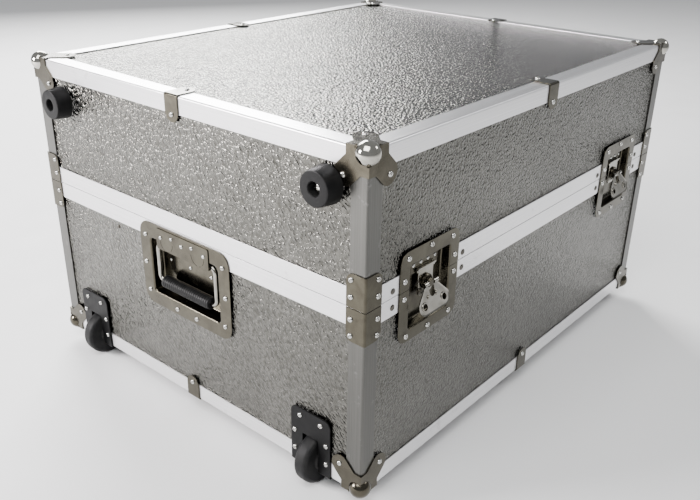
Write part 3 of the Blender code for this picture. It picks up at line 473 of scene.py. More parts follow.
board = board_finish()
panel_names = [name for name in nodes if name.endswith("_panel")]
for name in panel_names:
    dress(nodes[name], board)
print("boards:", len(panel_names))

# %% [markdown]
# ## Anodised extrusion
# Drawn aluminium has very fine lines along its length.  The noise is stretched along the run, so
# there is one finish for each direction, and sparse darker rubs show where cases have touched.  The
# uprights mirror the pale floor and would look white, so they get a darker copy of the finish: painted
# shade.


# %% Make the extrusion finishes
def extrusion_finish(name, lines, dull=(0.74, 0.735, 0.745), bright=(0.90, 0.89, 0.90)):
    made = Finish(name, bright, 1.0, 0.3)
    drawn = made.noise(1.0, 3.0, 0.7, 0.0, made.stretched(lines))
    rubs = made.noise(38, 5.0, 0.7)
    broad = made.noise(6, 2.0, 0.5)
    tone = made.blend(made.spread(drawn, 0.3, 0.7), dull, bright)
    tone = made.blend(made.spread(rubs, 0.62, 0.74, 0.0, 0.4), tone, (0.40, 0.39, 0.38))
    made.color(made.blend(made.spread(broad, 0.4, 0.75, 0.0, 0.25), tone, dull))
    grain = made.spread(drawn, 0.25, 0.75, 0.26, 0.40)
    made.roughness(made.maths("ADD", grain, made.spread(rubs, 0.6, 0.8, 0.0, 0.15)))
    made.relief(drawn, 0.12, 0.0003)
    return made.material


along_x = extrusion_finish("anodised_along_x", (3.0, 1500.0, 1500.0))
along_y = extrusion_finish("anodised_along_y", (1500.0, 3.0, 1500.0))
# The uprights' copy is painted darker than the runs: painted shade.
painted_shade_along_z = extrusion_finish("anodised_along_z", (1500.0, 1500.0, 3.0),
                           (0.088, 0.087, 0.081), (0.142, 0.140, 0.131))
around = extrusion_finish("anodised_around", (3.0, 3.0, 1500.0))
print("extrusion finishes:", [finish.name for finish in bpy.data.materials if "anodised" in finish.name])

# %% [markdown]
# ## Plated steel, rubber and paint
# The pressed fittings are nickel plated.  Nickel is warmer and darker than aluminium and shows
# smudges.  Rivets are bright steel, the wheel housings are powder coated with an orange-peel skin,
# and the rubber is dull with patches of dust.  Rubber and paint hardly mirror the room, so their
# specular level is low.


# %% Make the other finishes
def plated_finish(name, bright, dull, rough_low, rough_high):
    made = Finish(name, bright, 1.0, rough_low)
    smudge = made.noise(45, 4.0, 0.6, 0.6)
    specks = made.noise(900, 2.0, 0.6)
    tone = made.blend(made.spread(smudge, 0.35, 0.7), bright, dull)
    made.color(made.blend(made.spread(specks, 0.66, 0.75, 0.0, 0.5), tone, dull))
    made.roughness(made.spread(smudge, 0.3, 0.7, rough_low, rough_high))
    made.relief(made.noise(160, 3.0, 0.6), 0.10, 0.0006)
    return made.material


def rubber_finish(name, color, dust, rough):
    made = Finish(name, color, 0.0, rough)
    patches = made.noise(60, 5.0, 0.7)
    grain = made.noise(1400, 2.0, 0.6)
    made.color(made.blend(made.spread(patches, 0.45, 0.75, 0.0, 0.6), color, dust))
    made.roughness(made.spread(patches, 0.3, 0.7, rough - 0.12, rough + 0.12))
    made.relief(grain, 0.25, 0.0003)
    made.shader.inputs["Specular IOR Level"].default_value = 0.15
    return made.material


def paint_finish(name, color, chipped):
    made = Finish(name, color, 0.0, 0.4)
    peel = made.noise(700, 2.0, 0.5)
    wear = made.noise(55, 6.0, 0.75)
    made.color(made.blend(made.spread(wear, 0.66, 0.72, 0.0, 0.8), color, chipped))
    made.roughness(made.spread(wear, 0.35, 0.7, 0.34, 0.5))
    made.relief(peel, 0.25, 0.0003)
    made.shader.inputs["Specular IOR Level"].default_value = 0.12
    return made.material


nickel = plated_finish("nickel_plate", (0.088, 0.081, 0.061), (0.058, 0.052, 0.039), 0.13, 0.28)
bright_nickel = plated_finish("bright_nickel_plate", (0.38, 0.365, 0.33), (0.25, 0.24, 0.21), 0.07, 0.17)
corner_nickel = plated_finish("corner_nickel_plate", (0.088, 0.080, 0.061), (0.058, 0.052, 0.039),
                              0.16, 0.30)
# A lighter copy of the corner plating, for the balls on the lid: a painted highlight.
painted_highlight_ball_nickel = plated_finish("ball_nickel_plate", (0.58, 0.565, 0.52), (0.36, 0.345, 0.30), 0.05, 0.13)
rivet_steel = plated_finish("rivet_steel", (0.62, 0.62, 0.60), (0.42, 0.41, 0.38), 0.10, 0.22)
dark_rivet = plated_finish("dark_rivet_steel", (0.13, 0.12, 0.105), (0.08, 0.074, 0.064), 0.22, 0.38)
zinc = plated_finish("zinc_plate", (0.68, 0.69, 0.71), (0.55, 0.56, 0.57), 0.22, 0.4)
rubber = rubber_finish("black_rubber", (0.006, 0.006, 0.0062), (0.016, 0.0155, 0.015), 0.45)
tyre_rubber = rubber_finish("tyre_rubber", (0.009, 0.009, 0.0095), (0.032, 0.031, 0.029), 0.52)
powder = paint_finish("black_powder_coat", (0.004, 0.004, 0.0042), (0.03, 0.029, 0.028))
print("finishes:", len(bpy.data.materials))

# %% [markdown]
# ## Edge extrusions
# An edge run is an angle: two flanges with a rounded arris between them.  A box gives the arris
# its place; all its faces but the two outer ones go, the arris is bevelled, and Solidify gives the
# sheet its thickness.  A profile could be swept along the run, but a folded sheet keeps an even wall
# round the bend without drawing the inner curve, and plates and clips can be made the same way.


# %% Model one angle run
ARRIS = 0.0024


def folded_sheet(name, low, high, outward, radius):
    """The two sides of a box that face the given ways, with a rounded fold between them."""
    thing = add_box(name, low, high)
    ways = [Vector(way) for way in outward]
    edit(thing)
    pick_faces(thing, lambda face: not any(face.normal.dot(way) > 0.9 for way in ways))
    bpy.ops.mesh.delete(type="FACE")
    bpy.ops.mesh.select_mode(type="EDGE")
    pick_edges(thing, lambda line: len(line.link_faces) == 2)
    bpy.ops.mesh.bevel(offset=radius, segments=4)
    leave_edit()
    return thing


def angle_run(name, low, high, outward):
    thing = thicken(folded_sheet(name, low, high, outward, ARRIS), WALL)
    return soften(thing, 0.0003, 2)


# %% [markdown]
# The runs on the top frame and the bottom frame stop short of the ball corners, and the bottom run
# at the wheel end is cut where the wheel housings fold over it.

# %% Make the edge runs
CORNER_CLEAR = 0.019
WELL_HALF = 0.0148
wheel_spans = {end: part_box(f"wheel_housing_{end}") for end in ("front", "back")}
wells = {}
for end, (low, high) in wheel_spans.items():
    middle = (low[1] + high[1]) / 2
    wells[end] = (middle - WELL_HALF, middle + WELL_HALF)


def frame_runs(level, z_edge, z_way):
    """The four runs round the top or the bottom frame, as (name, low, high, outward, finish)."""
    z_low, z_high = sorted((z_edge, z_edge - z_way * EDGE))
    clear = CORNER_CLEAR
    rows = []
    for side, y_edge, y_way in (("front", FRONT, -1), ("back", BACK, 1)):
        y_low, y_high = sorted((y_edge, y_edge - y_way * EDGE))
        rows.append((f"{level}_edge_{side}", (LEFT + clear, y_low, z_low),
                     (RIGHT - clear, y_high, z_high), ((0, y_way, 0), (0, 0, z_way)), along_x))
    for side, x_edge, x_way in (("wheel_end", LEFT, -1), ("far_end", RIGHT, 1)):
        x_low, x_high = sorted((x_edge, x_edge - x_way * EDGE))
        spans = [(FRONT + clear, BACK - clear)]
        if level == "base" and side == "wheel_end":
            spans = [(FRONT + clear, wells["front"][0]), (wells["front"][1], wells["back"][0]),
                     (wells["back"][1], BACK - clear)]
        for number, (near, far) in enumerate(spans):
            tail = "" if len(spans) == 1 else f"_{number + 1}"
            rows.append((f"{level}_edge_{side}{tail}", (x_low, near, z_low), (x_high, far, z_high),
                         ((x_way, 0, 0), (0, 0, z_way)), along_y))
    return rows


for name, low, high, outward, finish in frame_runs("base", BOTTOM, -1):
    stands_for = "base_edging_wheel_end" if name == "base_edge_wheel_end_2" else "base_edging"
    settle(angle_run(name, low, high, outward), finish, "base", "extrusion", stands_for)
for name, low, high, outward, finish in frame_runs("lid", TOP, 1):
    settle(angle_run(name, low, high, outward), finish, "lid", "extrusion", "lid_edging")

corners = [(end, side, x, y, sx, sy)
           for end, x, sx in (("wheel_end", LEFT, 1), ("far_end", RIGHT, -1))
           for side, y, sy in (("front", FRONT, 1), ("back", BACK, -1))]
for end, side, _, _, sx, sy in corners:
    for level in ("base", "lid"):
        node = f"{level}_post_{end}_{side}"
        run = angle_run(f"{level}_upright_{end}_{side}", *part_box(node), ((-sx, 0, 0), (0, -sy, 0)))
        settle(run, painted_shade_along_z, level, "extrusion", node)

# %% [markdown]
# ## Closure bands
# Base and lid meet in a pair of channel extrusions.  Each has an outer flange, a web across the
# boards' ends and an inner flange; the base's web carries a tongue and the lid's web a groove.
# Every part of the profile is an upright wall round the whole case, so each is made as one loop and
# the loops are gathered, which keeps the corners mitred without drawing the profile.


# %% Model the bands
def wall_loop(name, low, high, wall, radius=0.0):
    """Four upright walls of one thickness, rounded at the corners if asked."""
    thing = add_box(name, low, high)
    edit(thing)
    pick_faces(thing, lambda face: abs(face.normal.z) > 0.9)
    bpy.ops.mesh.delete(type="ONLY_FACE")
    if radius:
        bpy.ops.mesh.select_mode(type="EDGE")
        bpy.ops.mesh.select_all(action="DESELECT")
        pick_edges(thing, upright)
        bpy.ops.mesh.bevel(offset=radius, segments=4)
    leave_edit()
    return thicken(thing, wall)


def inset_box(inset, z_low, z_high):
    return (LEFT + inset, FRONT + inset, z_low), (RIGHT - inset, BACK - inset, z_high)


LATCH_MOUTH_HALF = 0.0380
BAND_DEPTH = 0.0126
ARRIS_SOFT = 0.00045


def latch_pocket_cutters():
    """A block for each latch, a little wider than its dish's mouth, to cut the bands with."""
    made = []
    for side in ("left", "right"):
        low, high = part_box(f"latch_dish_{side}")
        middle = (low[0] + high[0]) / 2
        half = LATCH_MOUTH_HALF + PLATE + GAP
        made.append(add_box("pocket", (middle - half, FRONT - 0.01, SEAM - 0.06),
                            (middle + half, FRONT + 0.0113, SEAM + 0.028)))
    return made


seam_low, seam_high = SEAM - GAP, SEAM + GAP
for level, z_low, z_high, web_low, web_high in (
        ("base", seam_low - EDGE, seam_low, seam_low - WALL, seam_low - 0.0002),
        ("lid", seam_high, seam_high + EDGE, seam_high + 0.0045, seam_high + 0.006)):
    flange = soften(wall_loop("flange", *inset_box(0.0, z_low, z_high), WALL, ARRIS), ARRIS_SOFT, 2)
    web = wall_loop("web", *inset_box(WALL / 2, web_low, web_high), BAND_DEPTH - WALL)
    inner = soften(wall_loop("inner", *inset_box(BAND_DEPTH - WALL, z_low, z_high), WALL), 0.0003, 2)
    shells = [flange, web, inner]
    if level == "base":
        tongue = wall_loop("tongue", *inset_box(0.0055, web_low, SEAM + 0.0032), 0.0025)
        shells.append(soften(tongue, 0.0006, 2))
    else:
        for inset, wall in ((WALL / 2, 0.0036), (0.0092, 0.0025)):
            shells.append(wall_loop("land", *inset_box(inset, z_low + 0.0002, web_low + 0.0002), wall))
    for shell in shells:
        cut(shell, *latch_pocket_cutters())
    band = gather(f"{level}_band", shells)
    settle(band, around, level, "extrusion", f"{level}_closure_band")
print("band height", round(EDGE, 4), "depth", BAND_DEPTH)

# %% [markdown]
# ## Rivets
# Nearly everything is held by domed rivets with a small pierced centre.  A rivet is turned: one
# point is extruded into a profile, and the profile is spun about the axis.  A squashed ball would be
# quicker, but it has no flat rim and no pierced centre to catch the light.  It is modelled once, and
# a group of copies makes the rivets of one fitting.


# %% Turn a profile
def draw_line(name, points):
    """Extrude one point from place to place; the line is left selected in edit mode."""
    clear_selection()
    bpy.ops.mesh.primitive_plane_add(size=0.002)
    thing = bpy.context.object
    thing.name = name
    edit(thing, "VERT")
    bpy.ops.mesh.select_all(action="SELECT")
    bpy.ops.mesh.merge(type="CENTER")
    bpy.ops.transform.translate(value=points[0])
    for before, after in zip(points, points[1:]):
        step = [there - here for here, there in zip(before, after)]
        bpy.ops.mesh.extrude_region_move(TRANSFORM_OT_translate={"value": step})
    bpy.ops.mesh.select_all(action="SELECT")
    return thing


def turned(name, profile, steps=32):
    """Spin (radius, height) points about Z; a profile that starts and ends on the axis is closed."""
    thing = draw_line(name, [(radius, 0.0, height) for radius, height in profile])
    bpy.ops.mesh.spin(steps=steps, angle=2 * pi, center=(0, 0, 0), axis=(0, 0, 1))
    bpy.ops.mesh.select_all(action="SELECT")
    bpy.ops.mesh.remove_doubles(threshold=0.000005)
    bpy.ops.mesh.normals_make_consistent(inside=False)
    leave_edit()
    return thing


def dome_profile(radius, height, hole):
    """Half a rivet head, from below its seat over the dome to the floor of the pierced centre."""
    return [(0.0, -0.0006), (radius, -0.0006), (radius, height * 0.25), (radius * 0.86, height * 0.72),
            (radius * 0.58, height), (hole, height * 0.98), (hole * 0.8, height * 0.55),
            (0.0, height * 0.5)]


rivet = turned("rivet", dome_profile(0.0034, 0.0019, 0.0011), 12)
small_rivet = turned("small_rivet", dome_profile(0.0027, 0.0014, 0.0008), 12)
tubular_rivet = turned("tubular_rivet", dome_profile(0.0038, 0.0010, 0.0020), 14)
print("faces in a rivet:", len(rivet.data.polygons))


def rivet_group(name, master, places, material, body, slot_name="nickel_steel"):
    """One piece made of copies of a rivet, each set in its place by a matrix."""
    heads = [copy_to(master, "head", place) for place in places]
    settle(gather(name, heads), material, body, slot_name)


def rivets(name, master, face, places, height, material, body, slot_name="nickel_steel"):
    """Rivets at (across, up) places on a face, each turned a little, their seats at a height."""
    turns = [face @ Matrix.Translation((across, up, height)) @ Matrix.Rotation(number * 2.4, 4, "Z")
             for number, (across, up) in enumerate(places)]
    rivet_group(name, master, turns, material, body, slot_name)


# %% [markdown]
# ## Seam brackets
# Where the seam turns a corner, an angle plate with rounded ends is riveted over each band.  It is
# folded like the extrusion below it, and its two free corners are bevelled as points, which rounds
# the outline while the plate is still a sheet.


# %% Make the seam brackets
BRACKET = (0.0255, 0.0405)
FOLD = 0.0028


def bracket_master():
    """The half above the seam, with the case towards +X and +Y and the seam at z = 0."""
    reach, height = BRACKET
    thing = folded_sheet("bracket", (-PROUD, -PROUD, 0.0), (reach, reach, height),
                         ((-1, 0, 0), (0, -1, 0)), FOLD)
    edit(thing, "VERT")
    pick_points(thing, lambda point: point.co.z > height - 0.001 and max(point.co.xy) > reach - 0.001)
    bpy.ops.mesh.bevel(offset=0.009, segments=5, affect="VERTICES")
    leave_edit()
    thicken(thing, PLATE)
    return soften(thing, 0.0004, 2)


def corner_place(x, y, z, sx, sy, sz):
    """A turn that takes the +X, +Y, +Z corner of the case to another, without mirroring."""
    columns = [Vector((sx, 0, 0)), Vector((0, sy, 0)), Vector((0, 0, sz))]
    if sx * sy * sz < 0:
        columns[0], columns[1] = columns[1], columns[0]
    return Matrix.Translation((x, y, z)) @ Matrix(columns).transposed().to_4x4()


RIVET_FROM_ARRIS = 0.0188
bracket = bracket_master()
for end, side, x, y, sx, sy in corners:
    for level, sz, z in (("base", -1, seam_low), ("lid", 1, seam_high)):
        piece = copy_to(bracket, f"{level}_bracket_{end}_{side}", corner_place(x, y, z, sx, sy, sz))
        settle(piece, nickel, level, "nickel_steel", f"{level}_closure_band")
        places = []
        for outward in ((-sx, 0, 0), (0, -sy, 0)):
            face = face_frame((x, y, SEAM), outward, (0, 0, 1))
            inward = Vector((sx, sy, 0)) + Vector(outward)
            across = face.to_3x3().col[0].dot(inward) * RIVET_FROM_ARRIS
            places += [face @ Matrix.Translation((across, sz * up, PROUD)) for up in (0.0135, 0.0335)]
        rivet_group(f"{level}_bracket_rivets_{end}_{side}", rivet, places, rivet_steel, level)
drop(bracket)

# %% [markdown]
# ## Edge clips
# At the middle of every long edge an angle strap with round ends holds the extrusion to the board.
# The strap is folded like the brackets.  Each round end is drawn out in five short steps that get
# narrower, because a bevel as wide as the strap itself would leave its two corners touching.


# %% Make the edge clips
CLIP_HALF = 0.012
CLIP_LENGTH = 0.033
CLIP_RIVET = 0.0235


def clip_master():
    """A strap over an edge along X: one leg runs down +Y, the other along +Z."""
    reach = CLIP_LENGTH - CLIP_HALF
    thing = folded_sheet("clip", (-CLIP_HALF, -PROUD, -PROUD), (CLIP_HALF, reach, reach),
                         ((0, -1, 0), (0, 0, -1)), FOLD)
    edit(thing, "EDGE")
    for far in ("z", "y"):
        bpy.ops.mesh.select_all(action="DESELECT")
        pick_edges(thing, lambda line: getattr(edge_middle(line), far) > reach - 0.0001)
        middle = Vector((0.0, -PROUD, reach)) if far == "z" else Vector((0.0, reach, -PROUD))
        step = Vector((0, 0, CLIP_HALF)) if far == "z" else Vector((0, CLIP_HALF, 0))
        for number in range(1, 6):
            before, after = radians(18 * (number - 1)), radians(18 * number)
            bpy.ops.mesh.extrude_region_move(
                TRANSFORM_OT_translate={"value": step * (sin(after) - sin(before))})
            squeeze = max(cos(after), 0.02) / max(cos(before), 0.02)
            bpy.ops.transform.resize(value=(squeeze, 1, 1), center_override=middle)
    leave_edit()
    thicken(thing, PLATE)
    return soften(thing, 0.0003, 1)


clip = clip_master()
walls = [("front", (MIDDLE.x, FRONT), (0, -1, 0)), ("far_end", (RIGHT, MIDDLE.y), (1, 0, 0)),
         ("back", (MIDDLE.x, BACK), (0, 1, 0)), ("wheel_end", (LEFT, MIDDLE.y), (-1, 0, 0))]
LEVELS = (("base", BOTTOM, 1), ("lid", TOP, -1))
for level, z, sz in LEVELS:
    for side, (x, y), outward in walls:
        inward, up = -Vector(outward), Vector((0, 0, sz))
        along = inward.cross(up)
        turn = Matrix((along, inward, up)).transposed().to_4x4()
        place = Matrix.Translation((x, y, z)) @ turn
        node = "lid_edging" if level == "lid" else "base_edging"
        if level == "base" and side == "wheel_end":
            node = "base_edging_wheel_end"
        settle(copy_to(clip, f"{level}_clip_{side}", place), nickel, level, "nickel_steel", node)
        legs = (face_frame((x, y, z), outward, up), face_frame((x, y, z), -up, inward))
        places = [leg @ Matrix.Translation((0, CLIP_RIVET, PROUD)) for leg in legs]
        rivet_group(f"{level}_clip_rivets_{side}", rivet, places, rivet_steel, level)
drop(clip)

# %% [markdown]
# ## Ball corners
# A ball corner is one pressing: a ball over the corner and, on each face, a square with a leg
# along the diagonal that takes a rivet.  It could be subdivided from a cube, but a press leaves flat
# plates and a crisp ring round the ball, so a block, three legs and a ball are joined into one
# solid and hollowed.  The balls on the lid have no pale floor beside them to mirror, so their
# colour is painted brighter than the ones below, with a lighter copy of the plating: a painted
# highlight.

# %% Make the ball corners
BALL_RADIUS = 0.0130
BALL_INSET = 0.0060
CORNER_SQUARE = 0.0285
LEG_HALF = 0.0135
LEG_REACH = 0.0555
CORNER_RIVET = 0.0318


# A turn about the corner's diagonal that takes X to Y, Y to Z and Z to X.
NEXT_FACE = Matrix(((0, 0, 1, 0), (1, 0, 0, 0), (0, 1, 0, 0), (0, 0, 0, 1)))


def corner_leg():
    """The diagonal leg on the face at z = 0, with the case above it."""
    leg = add_box("leg", (0.010, -LEG_HALF, 0.00002 - GAP - PLATE), (LEG_REACH, LEG_HALF, 0.001))
    edit(leg, "EDGE")
    pick_edges(leg, lambda line: upright(line) and edge_middle(line).x > LEG_REACH - 0.001)
    bpy.ops.mesh.bevel(offset=0.0125, segments=8)
    leave_edit()
    leg.data.transform(Matrix.Rotation(pi / 4, 4, "Z"))
    return leg


def ball_corner_master():
    block = add_box("ball_corner", (-PROUD,) * 3, (CORNER_SQUARE,) * 3)
    leg = corner_leg()
    weld_on(block, copy_to(leg, "leg", NEXT_FACE), copy_to(leg, "leg", NEXT_FACE @ NEXT_FACE), leg)
    cut(block, add_box("inside", (-GAP,) * 3, (0.08,) * 3))
    soften(block, 0.00035, 2, radians(50))
    clear_selection()
    bpy.ops.mesh.primitive_uv_sphere_add(
        segments=48, ring_count=32, radius=BALL_RADIUS, location=(BALL_INSET,) * 3)
    ball = take_new("ball")
    cut(ball, add_box("inside", (-GAP - 0.0004,) * 3, (0.08,) * 3))
    return weld_on(block, ball)


ball_corner = ball_corner_master()
print("faces in a ball corner:", len(ball_corner.data.polygons))
under_face = Matrix.Translation((CORNER_RIVET, CORNER_RIVET, -PROUD)) @ Matrix.Rotation(pi, 4, "X")
for level, z, sz in LEVELS:
    for end, side, x, y, sx, sy in corners:
        place = corner_place(x, y, z, sx, sy, sz)
        fitting = copy_to(ball_corner, f"{level}_corner_{end}_{side}", place)
        settle(fitting, corner_nickel, level, "nickel_steel", f"{level}_ball_corner_{end}_{side}")
        # The balls on the lid take the lighter copy of the plating: a painted highlight.
        if level == "lid":
            fitting.data.materials.append(painted_highlight_ball_nickel)
            ball_centre = place @ Vector((BALL_INSET,) * 3)
            for face in fitting.data.polygons:
                on_ball = abs((face.center - ball_centre).length - BALL_RADIUS) < 0.0003
                face.material_index = 1 if on_ball else 0
        turns = (Matrix.Identity(4), NEXT_FACE, NEXT_FACE @ NEXT_FACE)
        places = [place @ turn @ under_face for turn in turns]
        rivet_group(f"{level}_corner_rivets_{end}_{side}", rivet, places, rivet_steel, level)
drop(ball_corner)

# %% [markdown]
# ## Pressed dishes
# The latches and handles sit in pressed dishes: a flat rim, a rolled lip and a sunk floor.  A flat
# sheet with rounded corners is inset to draw the mouth, the middle is extruded down to the floor,
# and the edges at the mouth and the floor are bevelled, as a press would round them.  Cutting a
# block would be simpler, but it would leave a thick, hard-edged tray without the rolled lip.


# %% Press a dish
def add_rounded_plane(name, size, radius, centre, height):
    clear_selection()
    bpy.ops.mesh.primitive_plane_add(size=1.0, location=(*centre, height))
    bpy.context.object.scale = (size[0], size[1], 1.0)
    thing = take_new(name)
    edit(thing, "VERT")
    bpy.ops.mesh.select_all(action="SELECT")
    bpy.ops.mesh.bevel(offset=radius, segments=6, affect="VERTICES")
    leave_edit()
    return thing


def pressed_dish(name, rim, rim_round, rim_centre, mouth, mouth_round, mouth_centre, depth, lip):
    """A dish whose rim lies on the case's face; sizes are (across, up)."""
    top = PROUD
    dish = add_rounded_plane(name, rim, rim_round, (0.0, rim_centre), top)
    edit(dish)
    bpy.ops.mesh.select_all(action="SELECT")
    step = rim_round - mouth_round
    bpy.ops.mesh.inset(thickness=step)
    squeeze = (mouth[0] / (rim[0] - 2 * step), mouth[1] / (rim[1] - 2 * step), 1.0)
    bpy.ops.transform.resize(value=squeeze, center_override=(0.0, rim_centre, top))
    bpy.ops.transform.translate(value=(0.0, mouth_centre - rim_centre, 0.0))
    bpy.ops.mesh.extrude_region_move(TRANSFORM_OT_translate={"value": (0.0, 0.0, -depth)})
    taper = (1.0 - 0.003 / mouth[0], 1.0 - 0.003 / mouth[1], 1.0)
    bpy.ops.transform.resize(value=taper, center_override=(0.0, mouth_centre, top - depth))
    leave_edit()
    edit(dish, "EDGE")
    pick_edges(dish, lambda line: len(line.link_faces) == 1)
    bpy.ops.mesh.extrude_region_move(TRANSFORM_OT_translate={"value": (0.0, 0.0, 0.0002 - PLATE)})
    bpy.ops.mesh.select_all(action="DESELECT")
    half_x, half_y = mouth[0] / 2 + 0.0004, mouth[1] / 2 + 0.0004
    pick_edges(dish, lambda line: len(line.link_faces) == 2 and abs(edge_way(line).z) < 0.1
               and abs(edge_middle(line).x) < half_x and abs(edge_middle(line).y - mouth_centre) < half_y
               and abs(line.calc_face_angle(0.0)) > 0.5)
    bpy.ops.mesh.bevel(offset=lip, segments=4)
    leave_edit()
    thicken(dish, 0.0010)
    return soften(dish, 0.0004, 2, radians(50))


# %% [markdown]
# ## Butterfly latches
# Turning the butterfly lifts a hooked claw over the keeper in the lid and draws the lid down.  The
# dish is cut along the seam: the lower part goes on the base, and the upper part, with the keeper,
# on the lid.

# %% Make the latch dishes
LATCH_X = {side: sum(corner[0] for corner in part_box(f"latch_dish_{side}")) / 2
           for side in ("left", "right")}
LATCH_Z = joint_height("latch_turn_left")
SEAM_UP = SEAM - BOTTOM
RIM_RIVETS = [(sx * 0.0418, up) for sx in (-1, 1) for up in (0.1838, 0.2810)]
RIM_RIVETS += [(sx * 0.0478, up) for sx in (-1, 1) for up in (0.2336, 0.2552)]
RIM_RIVETS += [(0.0, 0.1815), (0.0, 0.2843)]


def half_dish(dish, name, keep_above):
    """The part of a dish on one side of the seam."""
    low, high = (-0.1, SEAM_UP - GAP, -0.05), (0.1, 0.6, 0.05)
    if keep_above:
        low, high = (-0.1, -0.1, -0.05), (0.1, SEAM_UP + GAP, 0.05)
    copy = copy_to(dish, name, Matrix.Identity(4))
    return cut(copy, add_box("beyond_seam", low, high))


latch_dish = pressed_dish("latch_dish", (0.112, 0.114), 0.014, 0.233,
                          (0.076, 0.080), 0.004, 0.2315, 0.0117, 0.0018)
for side, x in LATCH_X.items():
    face = face_frame((x, FRONT, BOTTOM), (0, -1, 0), (0, 0, 1))
    lower = half_dish(latch_dish, "lower", False)
    upper = half_dish(latch_dish, "upper", True)
    settle(copy_to(lower, f"latch_{side}_dish", face), nickel, "base", "nickel_steel",
           f"latch_dish_{side}")
    settle(copy_to(upper, f"latch_{side}_upper_dish", face), nickel, "lid", "nickel_steel",
           f"latch_keeper_dish_{side}")
    drop(lower)
    drop(upper)
    below = [place for place in RIM_RIVETS if place[1] < SEAM_UP]
    above = [place for place in RIM_RIVETS if place[1] > SEAM_UP]
    rivets(f"latch_{side}_dish_rivets", rivet, face, below, PROUD, rivet_steel, "base")
    rivets(f"latch_{side}_upper_dish_rivets", rivet, face, above, PROUD, rivet_steel, "lid")
    for body, up in (("base", 0.2310), ("lid", 0.2510)):
        rivets(f"latch_{side}_band_rivets_{body}", tubular_rivet, face, [(-0.067, up), (0.067, up)],
               0.0, dark_rivet, body)
drop(latch_dish)
print("latches at", {side: round(x, 4) for side, x in LATCH_X.items()})

# %% [markdown]
# The moving parts of a latch are small pressings.  Each is modelled flat, about the pivot, and then
# set upright on the case's front, so that its numbers are read from its own drawing.  The keeper's
# rivets sit low, because the claw passes over them when it lifts.

# %% Make the keeper and the claw
KEEPER_RIVETS = [(step * 0.0136 - 0.0204, 0.0250) for step in range(4)]
KEEPER_SEAT = -0.0081


def keeper_master():
    """The plate under the claw, with a thin rib for the claw to hook over."""
    plate = add_box("keeper", (-0.026, 0.0145, -0.0102), (0.026, 0.0338, -0.0076))
    soften(plate, 0.0007, 2)
    hook = add_box("hook", (-0.0165, 0.0206, -0.0080), (0.0165, 0.0218, -0.0067))
    return weld_on(plate, soften(hook, 0.0003, 2))


def claw_master():
    """A plate with a slot for the spindle and a bright lip bent outwards at its top."""
    plate = add_box("claw", (-0.014, -0.0155, -0.0064), (0.014, 0.0185, -0.0046))
    edit(plate, "EDGE")
    pick_edges(plate, lambda line: upright(line) and edge_middle(line).y < 0)
    bpy.ops.mesh.bevel(offset=0.005, segments=5)
    leave_edit()
    head = add_box("head", (-0.017, 0.0150, -0.0064), (0.017, 0.0203, -0.0046))
    lip = add_box("lip", (-0.017, 0.0180, -0.0064), (0.017, 0.0203, -0.0030))
    weld_on(plate, head, lip)
    slot = add_box("slot", (-0.0056, -0.0060, -0.02), (0.0056, 0.0, 0.02))
    ends = [add_drum("slot_end", (0, y, -0.02), (0, y, 0.02), 0.0056) for y in (0.0, -0.006)]
    cut(plate, slot, *ends)
    return soften(plate, 0.0005, 2)


keeper, claw = keeper_master(), claw_master()
for side, x in LATCH_X.items():
    pivot = face_frame((x, FRONT, LATCH_Z), (0, -1, 0), (0, 0, 1))
    settle(copy_to(keeper, f"latch_{side}_keeper", pivot), nickel, "lid", "nickel_steel",
           f"latch_keeper_dish_{side}")
    rivets(f"latch_{side}_keeper_rivets", small_rivet, pivot, KEEPER_RIVETS, KEEPER_SEAT, rivet_steel,
           "lid")
    settle(copy_to(claw, f"latch_{side}_claw", pivot), bright_nickel, f"latch_claw_{side}",
           "nickel_steel", f"latch_claw_{side}")
print("faces in a keeper and a claw:", len(keeper.data.polygons), len(claw.data.polygons))
drop(keeper)
drop(claw)

# %% [markdown]
# The spindle is turned, with a ringed boss, and its lug carries the pin on which the butterfly
# folds.  The butterfly is cut from sheet: its outline is drawn and filled, its face is inset and
# pushed back so that a border stands up, and each finger hole has a raised eyelet.  Two discs could
# make its ears, but a drawn outline gives one even border round both.  At rest it leans a little
# out of its dish.


# %% Make the spindle and the butterfly
def spindle_master():
    profile = [(0.0, -0.0094), (0.0050, -0.0094), (0.0050, -0.0043), (0.0088, -0.0043),
               (0.0093, -0.0036), (0.0093, -0.0021), (0.0086, -0.0014), (0.0070, -0.0014),
               (0.0066, -0.0022), (0.0056, -0.0022), (0.0052, -0.0010), (0.0, -0.0010)]
    boss = turned("spindle", profile, 40)
    lug = soften(add_box("lug", (-0.0046, -0.0044, -0.0025), (0.0046, 0.0044, 0.0043)), 0.0014, 3)
    pin = add_drum("pin", (-0.0118, 0.0, 0.0022), (0.0118, 0.0, 0.0022), 0.0015, 24)
    return weld_on(boss, lug, pin)


WING_TILT = radians(18)
EAR = (0.0183, -0.0233)
EAR_RADIUS = 0.0105
BARREL_END = 0.0125


def arc(centre, radius, start, end, steps):
    """Points on an arc, angles in degrees."""
    angles = [radians(start + (end - start) * step / steps) for step in range(steps + 1)]
    return [(centre[0] + radius * cos(angle), centre[1] + radius * sin(angle)) for angle in angles]


def drawn_plate(name, outline, low, high):
    """Draw one point out round an outline, fill it and give it its thickness."""
    thing = draw_line(name, [(x, y, low) for x, y in outline])
    bpy.ops.mesh.edge_face_add()
    bpy.ops.mesh.extrude_region_move(TRANSFORM_OT_translate={"value": (0.0, 0.0, high - low)})
    bpy.ops.mesh.select_all(action="SELECT")
    bpy.ops.mesh.normals_make_consistent(inside=False)
    leave_edit()
    return thing


def post(name, foot, low, high, radius, sides):
    """A drum that stands along Z on a place in the plane z = 0."""
    return add_drum(name, (foot[0], foot[1], low), (foot[0], foot[1], high), radius, sides)


